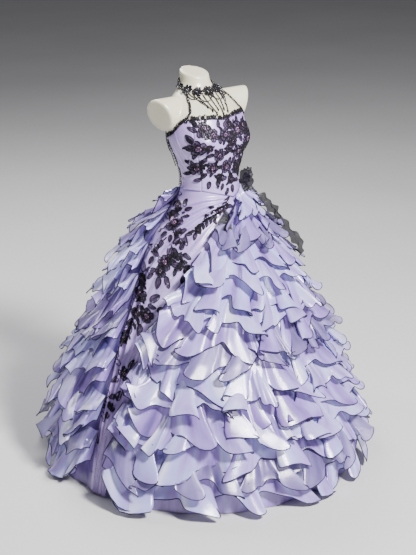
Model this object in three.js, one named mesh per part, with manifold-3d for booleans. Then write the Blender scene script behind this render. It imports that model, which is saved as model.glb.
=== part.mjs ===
// A quinceanera ball gown worn by a limbless dress form on a pole stand. Millimetres, +Z up.
//
// The origin is the middle of the stand's base on the floor, the front of the gown faces -Y and the
// wearer's left is +X. Directions round the body are angles in degrees from the front, positive
// towards the wearer's left. Everything worn is worked out from two smooth surfaces: the body, given
// by height, and the skirt, given by how far down its slope a point lies (0 at the waist, 1 at the hem).

import * as THREE from "three";
import { mergeVertices } from "three/addons/utils/BufferGeometryUtils.js";
import Module from "manifold-3d";

const wasm = await Module();
wasm.setup();

// ---------------------------------------------------------------- driving dimensions

const seamGap = 0.3; // between two pieces that are sewn together
const clothWall = 2; // a satin panel with its lining
const flounceWall = 2.4; // measured along the skirt's normal, so thinner across a steep fold
const bodyStep = 10; // degrees between the columns of the body and of the skirt
const hemClearance = 4; // the skirt's lower edge above the floor

const standBase = { radius: 200, thickness: 9 };
const standPole = { radius: 14 };

// Sections of the dress form: height, set-back of the section's middle, half width, depth in front
// of the middle and depth behind it.
const formSections = [
  { height: 780, setBack: -6, side: 138, front: 92, back: 98 },
  { height: 880, setBack: -10, side: 154, front: 102, back: 112 },
  { height: 980, setBack: -18, side: 134, front: 96, back: 98 },
  { height: 1050, setBack: -22, side: 120, front: 92, back: 90 },
  { height: 1125, setBack: -22, side: 116, front: 90, back: 86 },
  { height: 1195, setBack: -16, side: 134, front: 106, back: 100 },
  { height: 1258, setBack: -8, side: 156, front: 118, back: 118 },
  { height: 1315, setBack: -2, side: 160, front: 112, back: 114 },
  { height: 1365, setBack: 12, side: 152, front: 98, back: 100 },
  { height: 1402, setBack: 34, side: 130, front: 80, back: 80 },
  { height: 1428, setBack: 50, side: 92, front: 64, back: 64 },
  { height: 1444, setBack: 58, side: 68, front: 57, back: 57 },
  { height: 1462, setBack: 63, side: 58, front: 54, back: 54 },
  { height: 1500, setBack: 70, side: 55, front: 54, back: 54 },
];
const bust = { height: 1262, angle: 34, out: 22, spreadAngle: 21, spreadHeight: 44 };
const neckCutTilt = 14; // degrees that the flat top of the neck leans forwards
const armStub = {
  inside: { x: 88, y: 34, z: 1366, tall: 56, deep: 44 },
  cut: { x: 202, y: 24, z: 1362, tall: 62, deep: 52 },
  cutDown: 18, // degrees that the flat end looks down
  cutForward: 20, // degrees that it looks forwards
};

// The beaded choker: its heights at the front and at the back of the neck, and its band.
const choker = { front: 1437, back: 1460, tall: 3, out: 0.4, thickness: 3.6, flowers: 8 };

// Sections of the skirt under its flounces, with the same columns as the form's.
const skirtSections = [
  { height: 0, setBack: 0, side: 612, front: 606, back: 616 },
  { height: 120, setBack: 0, side: 588, front: 582, back: 592 },
  { height: 250, setBack: 0, side: 549, front: 543, back: 553 },
  { height: 400, setBack: 0, side: 490, front: 484, back: 495 },
  { height: 550, setBack: 0, side: 416, front: 410, back: 422 },
  { height: 680, setBack: 0, side: 348, front: 342, back: 356 },
  { height: 800, setBack: 0, side: 285, front: 277, back: 292 },
  { height: 900, setBack: 0, side: 218, front: 208, back: 220 },
  { height: 970, setBack: -6, side: 168, front: 150, back: 154 },
  { height: 1030, setBack: -15, side: 134, front: 114, back: 110 },
  { height: 1090, setBack: -22, side: 121, front: 97, back: 93 },
];
const skirtRows = [0, 0.025, 0.055, 0.1, 0.15, 0.22, 0.35, 0.53, 0.76, 1];

// The bodice: its top edge, its lower edge with a point at the front, and the seams between panels.
const bodiceTop = { front: 1350, centreDip: 6, underarm: 1286, back: 1262 };
const bodiceLow = { side: 1082, frontPoint: 1044, backPoint: 1064, pointAngle: 18 };
const bodiceSeams = { sideFront: 50, sideBack: 100, backEdge: 130 };
const bodiceShares = [0, 0.14, 0.28, 0.42, 0.57, 0.78, 1];

// The black lace on the bodice's front: its roses, by their middles and sizes seen from the front,
// narrowing to the point, and the directions of the leaves that stand out from each.
const bodiceRoses = [
  { x: -94, z: 1268, size: 31, leaves: [115, 165, 220] },
  { x: -50, z: 1300, size: 31, leaves: [75, 130] },
  { x: 8, z: 1298, size: 31, leaves: [60, 120] },
  { x: 66, z: 1300, size: 33, leaves: [60, 110] },
  { x: 104, z: 1266, size: 30, leaves: [25, -40] },
  { x: -56, z: 1238, size: 36, leaves: [190, 230] },
  { x: 6, z: 1244, size: 36, leaves: [] },
  { x: 64, z: 1236, size: 35, leaves: [-30] },
  { x: -22, z: 1186, size: 32, leaves: [180, 225] },
  { x: 34, z: 1182, size: 34, leaves: [-5, -50] },
  { x: 12, z: 1132, size: 28, leaves: [185, 235] },
  { x: 34, z: 1092, size: 22, leaves: [0, 215, 275] },
];

// The satin panel that shows between the flounces: its two edges, by height.
const panelEdges = [
  { height: 0, left: -85, right: -78 },
  { height: 150, left: -85.5, right: -76.5 },
  { height: 300, left: -86.5, right: -75 },
  { height: 450, left: -88, right: -73 },
  { height: 600, left: -91, right: -69 },
  { height: 700, left: -93, right: -62 },
  { height: 800, left: -97, right: -50 },
  { height: 880, left: -103, right: -40 },
  { height: 950, left: -107, right: -26 },
  { height: 1000, left: -113, right: -8 },
  { height: 1060, left: -124, right: 20 },
];

// The black sprays of lace on the panel, seen square on from the wearer's right front: the ends of
// each stem across and up, how far it bows to one side, and the roses and leaves that it carries.
const sprayView = -40;
const panelSprays = [
  { from: [-84, 1030], to: [-172, 890], bow: 12, roses: [0.3, 0.6], rose: 25, leaves: 3 },
  { from: [52, 1010], to: [-48, 930], bow: -8, roses: [0.3], rose: 16, leaves: 3 },
  { from: [-40, 884], to: [-160, 806], bow: -12, roses: [0.45], rose: 20, leaves: 3 },
];

// The flounces, from the waist down: where each is sewn, how deep it hangs, how many waves it
// has, how far it stands out at its edge, and how much its seam rises and falls.
const flounces = [
  { top: 0.018, depth: 0.132, waves: 9, stand: 50, sway: 0.003, fineness: 2 },
  { top: 0.112, depth: 0.148, waves: 12, stand: 56, sway: 0.004, fineness: 1 },
  { top: 0.222, depth: 0.155, waves: 14, stand: 60, sway: 0.001, fineness: 0 },
  { top: 0.338, depth: 0.16, waves: 17, stand: 64, sway: 0.011, fineness: 0 },
  { top: 0.458, depth: 0.163, waves: 19, stand: 66, sway: 0.011, fineness: 0 },
  { top: 0.58, depth: 0.165, waves: 20, stand: 68, sway: 0.01, fineness: 0 },
  { top: 0.703, depth: 0.165, waves: 22, stand: 70, sway: 0.008, fineness: 0 },
  { top: 0.827, depth: 0.17, waves: 23, stand: 72, sway: 0.002, fineness: 0 },
];

// ---------------------------------------------------------------- small helpers

const radians = THREE.MathUtils.degToRad;
const clamp = THREE.MathUtils.clamp;
const lerp = THREE.MathUtils.lerp;
const smoothstep = THREE.MathUtils.smoothstep;

// Steps from one value to another, both ends included.
function steps(from, to, count) {
  return Array.from({ length: count + 1 }, (_, i) => lerp(from, to, i / count));
}

// A smooth reading of a table of named columns, by its height column.
function smoothTable(rows) {
  const names = Object.keys(rows[0]).filter((name) => name !== "height");
  const heights = rows.map((row) => row.height);
  const values = rows.flatMap((row) => names.map((name) => row[name]));
  const reader = new THREE.CubicInterpolant(heights, values, names.length);
  return (height) => {
    const found = reader.evaluate(clamp(height, heights[0], heights.at(-1)));
    return Object.fromEntries(names.map((name, i) => [name, found[i]]));
  };
}

// The same table read in straight lines, for edges that must not overshoot.
function straightTable(rows, name) {
  return (height) => {
    const inside = clamp(height, rows[0].height, rows.at(-1).height);
    const next = Math.max(1, rows.findIndex((row) => row.height >= inside));
    const [low, high] = [rows[next - 1], rows[next]];
    return lerp(low[name], high[name], (inside - low.height) / (high.height - low.height));
  };
}

// A geometry of quads over a grid of points, four-sided faces cut in two.
function indexedGeometry(points, triangles) {
  const geometry = new THREE.BufferGeometry();
  geometry.setAttribute("position", new THREE.Float32BufferAttribute(points.flat(), 3));
  geometry.setIndex(triangles.flat());
  return geometry;
}

// A wall between two grids of points: rows down the cloth, columns from the wearer's right to left.
// A wall that goes all round has its last column joined to the first.
function wallGeometry(inner, outer, closed = false) {
  const rows = inner.length;
  const columns = inner[0].length;
  const points = [...inner.flat(), ...outer.flat()];
  const at = (side, r, c) => side * rows * columns + r * columns + (c % columns);
  const triangles = [];
  const quad = (a, b, c, d) => triangles.push([a, b, c], [a, c, d]);
  const spans = closed ? columns : columns - 1;
  for (let c = 0; c < spans; c += 1) {
    for (let r = 0; r < rows - 1; r += 1) {
      quad(at(1, r, c), at(1, r + 1, c), at(1, r + 1, c + 1), at(1, r, c + 1));
      quad(at(0, r, c), at(0, r, c + 1), at(0, r + 1, c + 1), at(0, r + 1, c));
    }
    quad(at(0, 0, c), at(1, 0, c), at(1, 0, c + 1), at(0, 0, c + 1));
    quad(at(0, rows - 1, c), at(0, rows - 1, c + 1), at(1, rows - 1, c + 1), at(1, rows - 1, c));
  }
  if (!closed) {
    for (let r = 0; r < rows - 1; r += 1) {
      quad(at(0, r, 0), at(0, r + 1, 0), at(1, r + 1, 0), at(1, r, 0));
      const last = columns - 1;
      quad(at(0, r, last), at(1, r, last), at(1, r + 1, last), at(0, r + 1, last));
    }
  }
  return indexedGeometry(points, triangles);
}

// A closed skin through rings of points, flat at both ends.
function loftGeometry(rings) {
  const around = rings[0].length;
  const middle = (ring) =>
    ring.reduce((sum, p) => sum.map((v, i) => v + p[i] / around), [0, 0, 0]);
  const points = [...rings.flat(), middle(rings[0]), middle(rings.at(-1))];
  const low = rings.length * around;
  const triangles = [];
  for (let k = 0; k < around; k += 1) {
    const next = (k + 1) % around;
    for (let r = 0; r < rings.length - 1; r += 1) {
      const [a, b] = [r * around, (r + 1) * around];
      triangles.push([a + k, a + next, b + k], [a + next, b + next, b + k]);
    }
    const top = (rings.length - 1) * around;
    triangles.push([low, next, k], [low + 1, top + k, top + next]);
  }
  return indexedGeometry(points, triangles);
}

// A point moved along the surface's outward normal. A surface is a function of an angle and a place,
// and the step given for the place goes up the surface.
function moveOut(surface, angle, place, distance, placeStep) {
  const here = new THREE.Vector3(...surface(angle, place));
  if (!distance) return here.toArray();
  const across = new THREE.Vector3(...surface(angle + 0.5, place))
    .sub(new THREE.Vector3(...surface(angle - 0.5, place)));
  const along = new THREE.Vector3(...surface(angle, place + placeStep))
    .sub(new THREE.Vector3(...surface(angle, place - placeStep)));
  const normal = across.cross(along).normalize();
  return here.addScaledVector(normal, distance).toArray();
}

// ---------------------------------------------------------------- the two surfaces

const formTable = smoothTable(formSections);
const skirtTable = smoothTable(skirtSections);

// Angles are brought to -180 ... 180, where the tables of edges are written.
const wrap = (angle) => THREE.MathUtils.euclideanModulo(angle + 180, 360) - 180;

// The body at an angle and a height: an oval with a fuller front, and two cups at the bust.
function bodySurface(angle, height) {
  const section = formTable(height);
  const turn = radians(angle);
  const cup = (side) =>
    bust.out
    * Math.exp(-(((wrap(angle) - side * bust.angle) / bust.spreadAngle) ** 2))
    * Math.exp(-(((height - bust.height) / bust.spreadHeight) ** 2));
  const out = cup(1) + cup(-1);
  const depth = Math.cos(turn) > 0 ? section.front : section.back;
  return [
    (section.side + out) * Math.sin(turn),
    section.setBack - (depth + out) * Math.cos(turn),
    height,
  ];
}
const onBody = (angle, height, out) => moveOut(bodySurface, angle, height, out, 2);

function bodiceTopEdge(angle) {
  const turn = Math.abs(wrap(angle));
  const dip = bodiceTop.centreDip * Math.exp(-((turn / 12) ** 2));
  const slope = smoothstep(turn, 52, 104);
  const back = smoothstep(turn, 96, 140);
  const front = lerp(bodiceTop.front - dip, bodiceTop.underarm, slope);
  return lerp(front, bodiceTop.back, back);
}

function bodiceLowEdge(angle) {
  const point = Math.max(0, 1 - Math.abs(wrap(angle - bodiceLow.pointAngle)) / 66) ** 1.25;
  const back = smoothstep(Math.abs(wrap(angle)), 110, 180);
  return bodiceLow.side
    - (bodiceLow.side - bodiceLow.frontPoint) * point
    - (bodiceLow.side - bodiceLow.backPoint) * back;
}

const chokerHeight = (angle) =>
  lerp(choker.front, choker.back, 0.5 - 0.5 * Math.cos(radians(angle)));

const bodiceInner = 0.5; // the bodice's inside, out from the dress form
const bodiceOuter = bodiceInner + clothWall;

// The outside of the skirt's base layer: at the waist it carries on from the bodice, and between
// the layer's rows it runs straight.
function flaredSurface(angle, down) {
  const waist = bodiceLowEdge(angle) - seamGap;
  const height = lerp(waist, hemClearance, down);
  const turn = radians(angle);
  const section = skirtTable(height);
  const depth = Math.cos(turn) > 0 ? section.front : section.back;
  const flared = [section.side * Math.sin(turn), section.setBack - depth * Math.cos(turn)];
  const [x, y] = onBody(angle, height, bodiceOuter);
  const share = smoothstep(down, 0, 0.07);
  return [lerp(x, flared[0], share), lerp(y, flared[1], share), height];
}
function onSkirt(angle, down, out) {
  const next = Math.max(1, skirtRows.findIndex((row) => row >= down));
  const [above, below] = [skirtRows[next - 1], skirtRows[next]];
  const straight = new THREE.Vector3(...flaredSurface(angle, above))
    .lerp(new THREE.Vector3(...flaredSurface(angle, below)), (down - above) / (below - above));
  const shift = straight.sub(new THREE.Vector3(...flaredSurface(angle, down)));
  return shift.add(new THREE.Vector3(...moveOut(flaredSurface, angle, down, out, -0.004))).toArray();
}

// ---------------------------------------------------------------- the dress form and its stand

const white = new THREE.MeshStandardMaterial({ color: 0xeceadb, roughness: 0.35 });
const steel = new THREE.MeshStandardMaterial({ color: 0xb9babd, roughness: 0.3, metalness: 0.9 });
const satin = new THREE.MeshStandardMaterial({ color: 0xc6b8dc, roughness: 0.4 });
const organza = new THREE.MeshStandardMaterial({ color: 0xd3cdea, roughness: 0.3 });
const blackLace = new THREE.MeshStandardMaterial({ color: 0x16121c, roughness: 0.6 });
const blackOrganza = new THREE.MeshStandardMaterial({ color: 0x2a2830, roughness: 0.4 });
const blackBeads = new THREE.MeshStandardMaterial({ color: 0x0c0c10, roughness: 0.15 });

const gown = new THREE.Group();
function add(name, geometry, material) {
  const mesh = new THREE.Mesh(geometry, material);
  mesh.name = name;
  gown.add(mesh);
}

// A geometry as a solid for joining and cutting, and back.
function solidOf(geometry) {
  const bare = geometry.clone();
  bare.deleteAttribute("normal");
  bare.deleteAttribute("uv");
  const merged = mergeVertices(bare, 1e-4);
  return new wasm.Manifold(new wasm.Mesh({
    numProp: 3,
    vertProperties: merged.attributes.position.array,
    triVerts: new Uint32Array(merged.index.array),
  }));
}
function geometryOf(solid) {
  const mesh = solid.simplify(0.05).getMesh();
  const geometry = new THREE.BufferGeometry();
  geometry.setAttribute("position", new THREE.BufferAttribute(mesh.vertProperties, 3));
  geometry.setIndex(new THREE.BufferAttribute(mesh.triVerts, 1));
  return geometry;
}
const joined = (geometries) =>
  geometryOf(geometries.map(solidOf).reduce((whole, piece) => whole.add(piece)));

// A layer of cloth cut round a flat outline that is seen square on from a direction.
function cutRound(layer, outlines, viewAngle) {
  const reach = 900;
  const facing = (solid) => solid.rotate([90, 0, 0]).rotate([0, 0, viewAngle]);
  const shape = outlines.reduce((whole, outline) => whole.add(outline));
  const sheet = wasm.CrossSection.square([2 * reach, 2 * reach], true).translate([0, reach]);
  const waste = sheet.subtract(shape).extrude(reach);
  const behind = sheet.extrude(reach).translate([0, 0, -reach]);
  return geometryOf(solidOf(layer).subtract(facing(waste)).subtract(facing(behind)));
}
function roseOutline(x, z, size) {
  return wasm.CrossSection.circle(size, 6).rotate(17 * (x + z)).translate([x, z]);
}
function leafOutline(x, z, turn, size) {
  return wasm.CrossSection.circle(size, 4).scale([1, 0.45]).translate([size * 0.7, 0])
    .rotate(turn)
    .translate([x, z]);
}

const ringAngles = steps(-180, 180 - bodyStep, 360 / bodyStep - 1);

// The torso's rings run with the bodice's rows, so that the cloth lies evenly on it.
function formTorsoGeometry() {
  const shoulder = 1368;
  const skirtRow = (down) => (angle) =>
    lerp(bodiceLowEdge(angle) - seamGap, hemClearance, down);
  const rows = [
    () => formSections[0].height,
    ...[0.15, 0.055, 0.025].map(skirtRow),
    ...[...bodiceShares].reverse().map((share) => (angle) =>
      lerp(bodiceTopEdge(angle), bodiceLowEdge(angle), share)),
    (angle) => lerp(bodiceTopEdge(angle), shoulder, 0.5),
    () => shoulder,
    ...[0.35, 0.7].map((share) => (angle) => lerp(shoulder, chokerHeight(angle) - choker.tall, share)),
    (angle) => chokerHeight(angle) - choker.tall,
    (angle) => chokerHeight(angle) + choker.tall,
    () => 1474,
    () => formSections.at(-1).height,
  ];
  const lean = Math.tan(radians(neckCutTilt));
  const rings = rows.map((row, r) =>
    ringAngles.map((angle) => {
      const [x, y, z] = bodySurface(angle, row(angle));
      const rise = r === rows.length - 1 ? (y - formSections.at(-1).setBack) * lean : 0;
      return [x, y, z + rise];
    }));
  return loftGeometry(rings);
}

function armStubGeometry(side) {
  const sides = 14;
  const sections = [0, 0.5, 0.92, 1].map((share) => {
    const value = (name) => lerp(armStub.inside[name], armStub.cut[name], share);
    const down = Math.tan(radians(armStub.cutDown)) * share;
    const forward = Math.tan(radians(armStub.cutForward)) * share;
    const rounded = share === 1 ? 0.95 : 1;
    return steps(0, 360 - 360 / sides, sides - 1).map((turn) => {
      const up = value("tall") * rounded * Math.sin(radians(turn));
      const fore = value("deep") * rounded * Math.cos(radians(turn));
      const x = value("x") + up * down - fore * forward;
      return [side * x, value("y") - fore, value("z") + up];
    });
  });
  return loftGeometry(side < 0 ? sections : sections.map((ring) => [...ring].reverse()));
}

add("form_torso", joined([formTorsoGeometry(), armStubGeometry(1), armStubGeometry(-1)]), white);

function standPoleGeometry() {
  const length = formSections[0].height - standBase.thickness - 2 * seamGap;
  return new THREE.CylinderGeometry(standPole.radius, standPole.radius, length, 20)
    .rotateX(Math.PI / 2)
    .translate(0, 0, standBase.thickness + seamGap + length / 2);
}
add("form_pole", standPoleGeometry(), steel);

function standBaseGeometry() {
  const edge = 3;
  const { radius, thickness } = standBase;
  const profile = [
    [0, 0], [radius, 0], [radius, thickness - edge], [radius - edge, thickness], [0, thickness],
  ].map(([r, h]) => new THREE.Vector2(r, h));
  return new THREE.LatheGeometry(profile, 24).rotateX(Math.PI / 2);
}
add("form_base", standBaseGeometry(), steel);

// ---------------------------------------------------------------- the bodice

// A bodice panel between two angles, its edges half a seam gap in from the seam lines.
function bodicePanel(from, to) {
  const inset = 0.06; // degrees, about half of the seam gap
  const columns = steps(from, to, Math.round((to - from) / bodyStep));
  columns[0] += inset;
  columns[columns.length - 1] -= inset;
  const grid = (out) =>
    bodiceShares.map((share) =>
      columns.map((angle) =>
        onBody(angle, lerp(bodiceTopEdge(angle), bodiceLowEdge(angle), share), out)));
  return wallGeometry(grid(bodiceInner), grid(bodiceOuter));
}

const { sideFront, sideBack, backEdge } = bodiceSeams;
add("bodice_front", bodicePanel(-sideFront, sideFront), satin);
add("bodice_side_left", bodicePanel(sideFront, sideBack), satin);
add("bodice_side_right", bodicePanel(-sideBack, -sideFront), satin);
add("bodice_back_left", bodicePanel(sideBack, backEdge), satin);
add("bodice_back_right", bodicePanel(-backEdge, -sideBack), satin);

// A narrow scalloped lace along the top edge, standing a little above it.
function topLaceGeometry() {
  const stand = { below: 4, low: 3, high: 9 };
  const columns = steps(-backEdge, backEdge, (2 * backEdge) / bodyStep);
  const grid = (out) =>
    [1, 0].map((upper) =>
      columns.map((angle, i) => {
        const rise = upper ? (i % 2 ? stand.high : stand.low) : -stand.below;
        return onBody(angle, bodiceTopEdge(angle) + rise, out);
      }));
  const inner = bodiceOuter + 2 * seamGap;
  return wallGeometry(grid(inner), grid(inner + 1.2));
}
add("bodice_top_lace", topLaceGeometry(), blackLace);

// The flowered lace on the bodice's front lies on the bodice's own facets.
function bodiceLaceGeometry() {
  const inner = bodiceOuter + 2 * seamGap;
  const columns = steps(-70, 70, 140 / bodyStep);
  const grid = (out) =>
    bodiceShares.map((share) =>
      columns.map((angle) =>
        onBody(angle, lerp(bodiceTopEdge(angle), bodiceLowEdge(angle), share), out)));
  const outlines = [
    ...bodiceRoses.map(({ x, z, size }) => roseOutline(x, z, size)),
    ...bodiceRoses.flatMap(({ x, z, size, leaves }) =>
      leaves.map((turn) => {
        const [across, up] = [Math.cos(radians(turn)), Math.sin(radians(turn))];
        return leafOutline(x + 0.7 * size * across, z + 0.7 * size * up, turn, 12);
      })),
  ];
  return cutRound(wallGeometry(grid(inner), grid(inner + 1.2)), outlines, 0);
}
add("bodice_lace", bodiceLaceGeometry(), blackLace);

// The lacing that closes the back: ribbons that cross between the panel edges, joined to the strips
// of black lace that carry them.
function backLacingGeometry() {
  const crossings = 3;
  const ribbon = { width: 7, thickness: 1.2 };
  const strip = { from: backEdge - 7, to: backEdge + 3 };
  const lift = bodiceOuter + 3 * seamGap;
  const heights = steps(bodiceTop.back - 22, bodiceLow.backPoint + 30, crossings);
  const bands = heights.slice(1).flatMap((low, i) =>
    [1, -1].map((side) => {
      const grid = (out) =>
        [ribbon.width / 2, -ribbon.width / 2].map((rise) =>
          [-54, -50, -46, -23, 0, 23, 46, 50, 54].map((turn) => {
            const angle = 180 + turn;
            const share = 0.5 + turn / 108;
            const height = lerp(side > 0 ? heights[i] : low, side > 0 ? low : heights[i], share);
            return onBody(angle, height + rise, out);
          }));
      return wallGeometry(grid(lift + 0.5), grid(lift + 0.5 + ribbon.thickness));
    }));
  const strips = [1, -1].map((side) => {
    const angles = [strip.from, backEdge, strip.to].map((angle) => side * angle);
    if (side < 0) angles.reverse();
    const grid = (out) =>
      [0.06, ...bodiceShares.slice(1, -1), 0.94].map((share) =>
        angles.map((angle) =>
          onBody(angle, lerp(bodiceTopEdge(angle), bodiceLowEdge(angle), share), out)));
    return wallGeometry(grid(lift), grid(lift + ribbon.thickness));
  });
  return joined([...bands, ...strips]);
}
add("back_lacing", backLacingGeometry(), blackLace);

// ---------------------------------------------------------------- the beaded halter


// A narrow beaded band over the body between two places, each an angle, a height and a stand-off.
function bandGeometry(places, halfWidth, thickness) {
  const sideways = Math.abs(places.at(-1).height - places[0].height) > 20;
  const grid = (out) =>
    [1, -1].map((edge) =>
      places.map((place) => {
        const [x, y, z] = onBody(place.angle, place.height, place.out + out);
        if (!sideways) return [x, y, z + edge * halfWidth];
        const turn = radians(place.angle);
        return [x + edge * halfWidth * Math.cos(turn), y + edge * halfWidth * Math.sin(turn), z];
      }));
  return wallGeometry(grid(0), grid(thickness));
}

// Beaded strands and straps hang down, so their places are read from the choker to the bodice.
function strandPlaces(fromAngle, toAngle, steepness) {
  return [0, 0.2, 0.45, 0.7, 0.86, 1].map((share) => {
    const angle = lerp(fromAngle, toAngle, share ** steepness);
    const top = chokerHeight(fromAngle);
    const end = bodiceTopEdge(toAngle) - 2;
    const nearEnd = smoothstep(share, 0.7, 0.86);
    return { angle, height: lerp(top, end, share), out: lerp(2, bodiceOuter + 2.2, nearEnd) };
  });
}

function chokerGeometry() {
  const columns = steps(-180, 180 - bodyStep, 360 / bodyStep - 1);
  const ring = (out) =>
    [choker.tall, -choker.tall].map((rise) =>
      columns.map((angle) => onBody(angle, chokerHeight(angle) + rise, out)));
  const band = wallGeometry(ring(choker.out), ring(choker.out + choker.thickness), true);
  const flowers = Array.from({ length: choker.flowers }, (_, i) => {
    const angle = (360 / choker.flowers) * i;
    const middle = new THREE.Vector3(...onBody(angle, chokerHeight(angle), 4.6));
    const outward = new THREE.Vector3(...onBody(angle, chokerHeight(angle), 5.6)).sub(middle);
    const facing = new THREE.Quaternion().setFromUnitVectors(new THREE.Vector3(0, 1, 0), outward);
    return new THREE.CylinderGeometry(8, 8, 4, 5)
      .applyQuaternion(facing)
      .translate(...middle.toArray());
  });
  const drops = [-48, -32, -16, 0, 16, 32, 48].map((angle) => {
    const places = strandPlaces(angle, angle * 0.42, 0.55);
    return bandGeometry(places, 1.6, 2.6);
  });
  return joined([band, ...flowers, ...drops]);
}
add("choker", chokerGeometry(), blackBeads);

// The straps pass in front of the arm stubs on their way to the bodice.
const strapPath = [
  { angle: 66, height: chokerHeight(66) - 8, out: 2.2 },
  { angle: 54, height: 1420, out: 2.6 },
  { angle: 47, height: 1398, out: 2.6 },
  { angle: 49, height: 1372, out: 2.6 },
  { angle: 56, height: bodiceTopEdge(56) + 10, out: bodiceOuter + 2.4 },
  { angle: 59, height: bodiceTopEdge(59) - 3, out: bodiceOuter + 2.4 },
];
function strapGeometry(side) {
  const places = strapPath.map((place) => ({ ...place, angle: side * place.angle }));
  return bandGeometry(places, 2.6, 2.6);
}
add("strap_left", strapGeometry(1), blackBeads);
add("strap_right", strapGeometry(-1), blackBeads);

// ---------------------------------------------------------------- the skirt

function skirtBaseGeometry() {
  const grid = (out) =>
    skirtRows.map((down) => ringAngles.map((angle) => onSkirt(angle, down, out)));
  return wallGeometry(grid(-clothWall), grid(0), true);
}
add("skirt_base", skirtBaseGeometry(), satin);

const panelLeft = straightTable(panelEdges, "left");
const panelRight = straightTable(panelEdges, "right");
const panelHeight = (down) => lerp(bodiceLow.side, hemClearance, down);
const panelRows = [...new Set([
  0.004, ...skirtRows.slice(1), 0.04, 0.077, 0.125, 0.185, 0.28, 0.43,
])].sort((a, b) => a - b);

// The draped folds of the satin panel spring from the point of the bodice and run out across the
// front, dying away downwards.
function drapeFold(share, down) {
  const reach = Math.hypot(1.02 - share, (down - 0.0) * 2.2);
  const turn = Math.atan2(down * 2.2, 1.02 - share);
  const fade = smoothstep(reach, 0.1, 0.3) * (1 - smoothstep(down, 0.17, 0.33));
  const edge = smoothstep(share, 0, 0.12) * (1 - smoothstep(share, 0.9, 1)) * smoothstep(down, 0, 0.02);
  return 8 * fade * edge * (0.5 - 0.5 * Math.cos(17 * turn));
}

const panelClear = 0.8; // over the base layer's facets
const panelOut = (share, down) => panelClear + clothWall + drapeFold(share, down);
function onPanel(share, down, out) {
  const height = panelHeight(down);
  return onSkirt(lerp(panelLeft(height), panelRight(height), share), down, out);
}

const panelColumns = 14;
function frontPanelGeometry() {
  const shares = steps(0, 1, panelColumns);
  const grid = (out) =>
    panelRows.map((down) => shares.map((share) => onPanel(share, down, out(share, down))));
  return wallGeometry(grid(() => panelClear), grid(panelOut));
}
add("skirt_front_panel", frontPanelGeometry(), satin);

// A spray of black lace laid on the panel: a stem with roses on it and leaves on both sides.
function sprayOutlines({ from, to, bow, roses, rose, leaves }) {
  const heading = Math.atan2(to[1] - from[1], to[0] - from[0]);
  const along = (place) => {
    const aside = bow * Math.sin(Math.PI * place);
    return [
      lerp(from[0], to[0], place) - aside * Math.sin(heading),
      lerp(from[1], to[1], place) + aside * Math.cos(heading),
    ];
  };
  const knots = steps(0, 1, 3).map((place) =>
    wasm.CrossSection.circle(2.6, 4).translate(along(place)));
  const stem = knots.slice(1).map((knot, i) => wasm.CrossSection.hull([knots[i], knot]));
  const blooms = roses.map((place) => roseOutline(...along(place), rose));
  const foliage = steps(0.03, 0.97, leaves - 1).flatMap((place, i) =>
    [1, -1].map((side) => {
      const turn = THREE.MathUtils.radToDeg(heading) + side * (40 + 12 * (i % 2));
      return leafOutline(...along(place), turn, 15 + 3 * Math.sin(2 * i + side));
    }));
  return [...stem, ...blooms, ...foliage];
}

function sprayGeometry(spray) {
  const shares = steps(0, 1, panelColumns);
  const grid = (out) =>
    panelRows.map((down) =>
      shares.map((share) => onPanel(share, down, panelOut(share, down) + out)));
  const layer = wallGeometry(grid(0.5), grid(1.7));
  return cutRound(layer, sprayOutlines(spray), sprayView);
}
panelSprays.forEach((spray, i) => add(`panel_lace_${i + 1}`, sprayGeometry(spray), blackLace));

// How far a flounce's cloth stands off the skirt: the troughs lie close, and each wave has its own
// height. The place down the flounce runs from 0 at its seam to 1 at its edge.
const flounceRows = [
  { place: 0, trough: 0, crest: 0, fineness: 0 },
  { place: 0.13, trough: 1.4, crest: 0.06, fineness: 2 },
  { place: 0.26, trough: 2.8, crest: 0.12, fineness: 1 },
  { place: 0.45, trough: 5, crest: 0.22, fineness: 0 },
  { place: 0.72, trough: 9, crest: 0.6, fineness: 2 },
  { place: 1, trough: 14, crest: 1, fineness: 0 },
];
// One wave of a flounce, by its share along the wave: a narrow trough and a rounded crest.
const waveShape = [
  { share: 0, rise: 0 },
  { share: 0.28, rise: 0.7 },
  { share: 0.5, rise: 1 },
  { share: 0.74, rise: 0.62 },
];

function flounceGeometry(tier, index) {
  const columns = Array.from({ length: tier.waves }, (_, number) =>
    waveShape.map(({ share, rise }) => ({ number, at: (number + share) / tier.waves, rise }))).flat();
  columns.push({ number: tier.waves, at: 1, rise: 0.2 });
  const rows = flounceRows.filter((row) => row.fineness <= tier.fineness);
  const grid = (thickness) =>
    rows.map((row) =>
      columns.map(({ number, at, rise }) => {
        const height = 0.78 + 0.22 * Math.sin(number * 2.4 + index * 1.7);
        const wave = height * rise;
        const lifted = row.place * (1 - 0.07 * row.crest * wave);
        const hang = tier.depth * (0.97 + 0.03 * Math.sin(number * 1.9 + index));
        const sway = tier.sway * Math.sin(6 * Math.PI * at + index * 1.3);
        const down = clamp(tier.top + sway + hang * lifted, 0.008, 1);
        const level = lerp(bodiceLow.side, hemClearance, down);
        const angle = lerp(panelRight(level) + 1.2, panelLeft(level) + 358.8, at);
        const out = 0.6 + row.trough + (tier.stand - 14) * row.crest * wave;
        return onSkirt(angle, down, out + thickness);
      }));
  return wallGeometry(grid(0), grid(flounceWall));
}
flounces.forEach((tier, i) => add(`flounce_${i + 1}`, flounceGeometry(tier, i), organza));

// ---------------------------------------------------------------- the black organza at the hip

// A strip whose places are an angle, a place down the skirt, a stand-off and half its width.
function stripGeometry(places, thickness) {
  const grid = (out) =>
    places.map((place) =>
      [-1, 0, 1].map((edge) => {
        const away = place.out + out + (edge === 0 ? 5 : 0);
        return onSkirt(place.angle + edge * place.spread, place.down, away);
      }));
  return wallGeometry(grid(0), grid(thickness));
}

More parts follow.
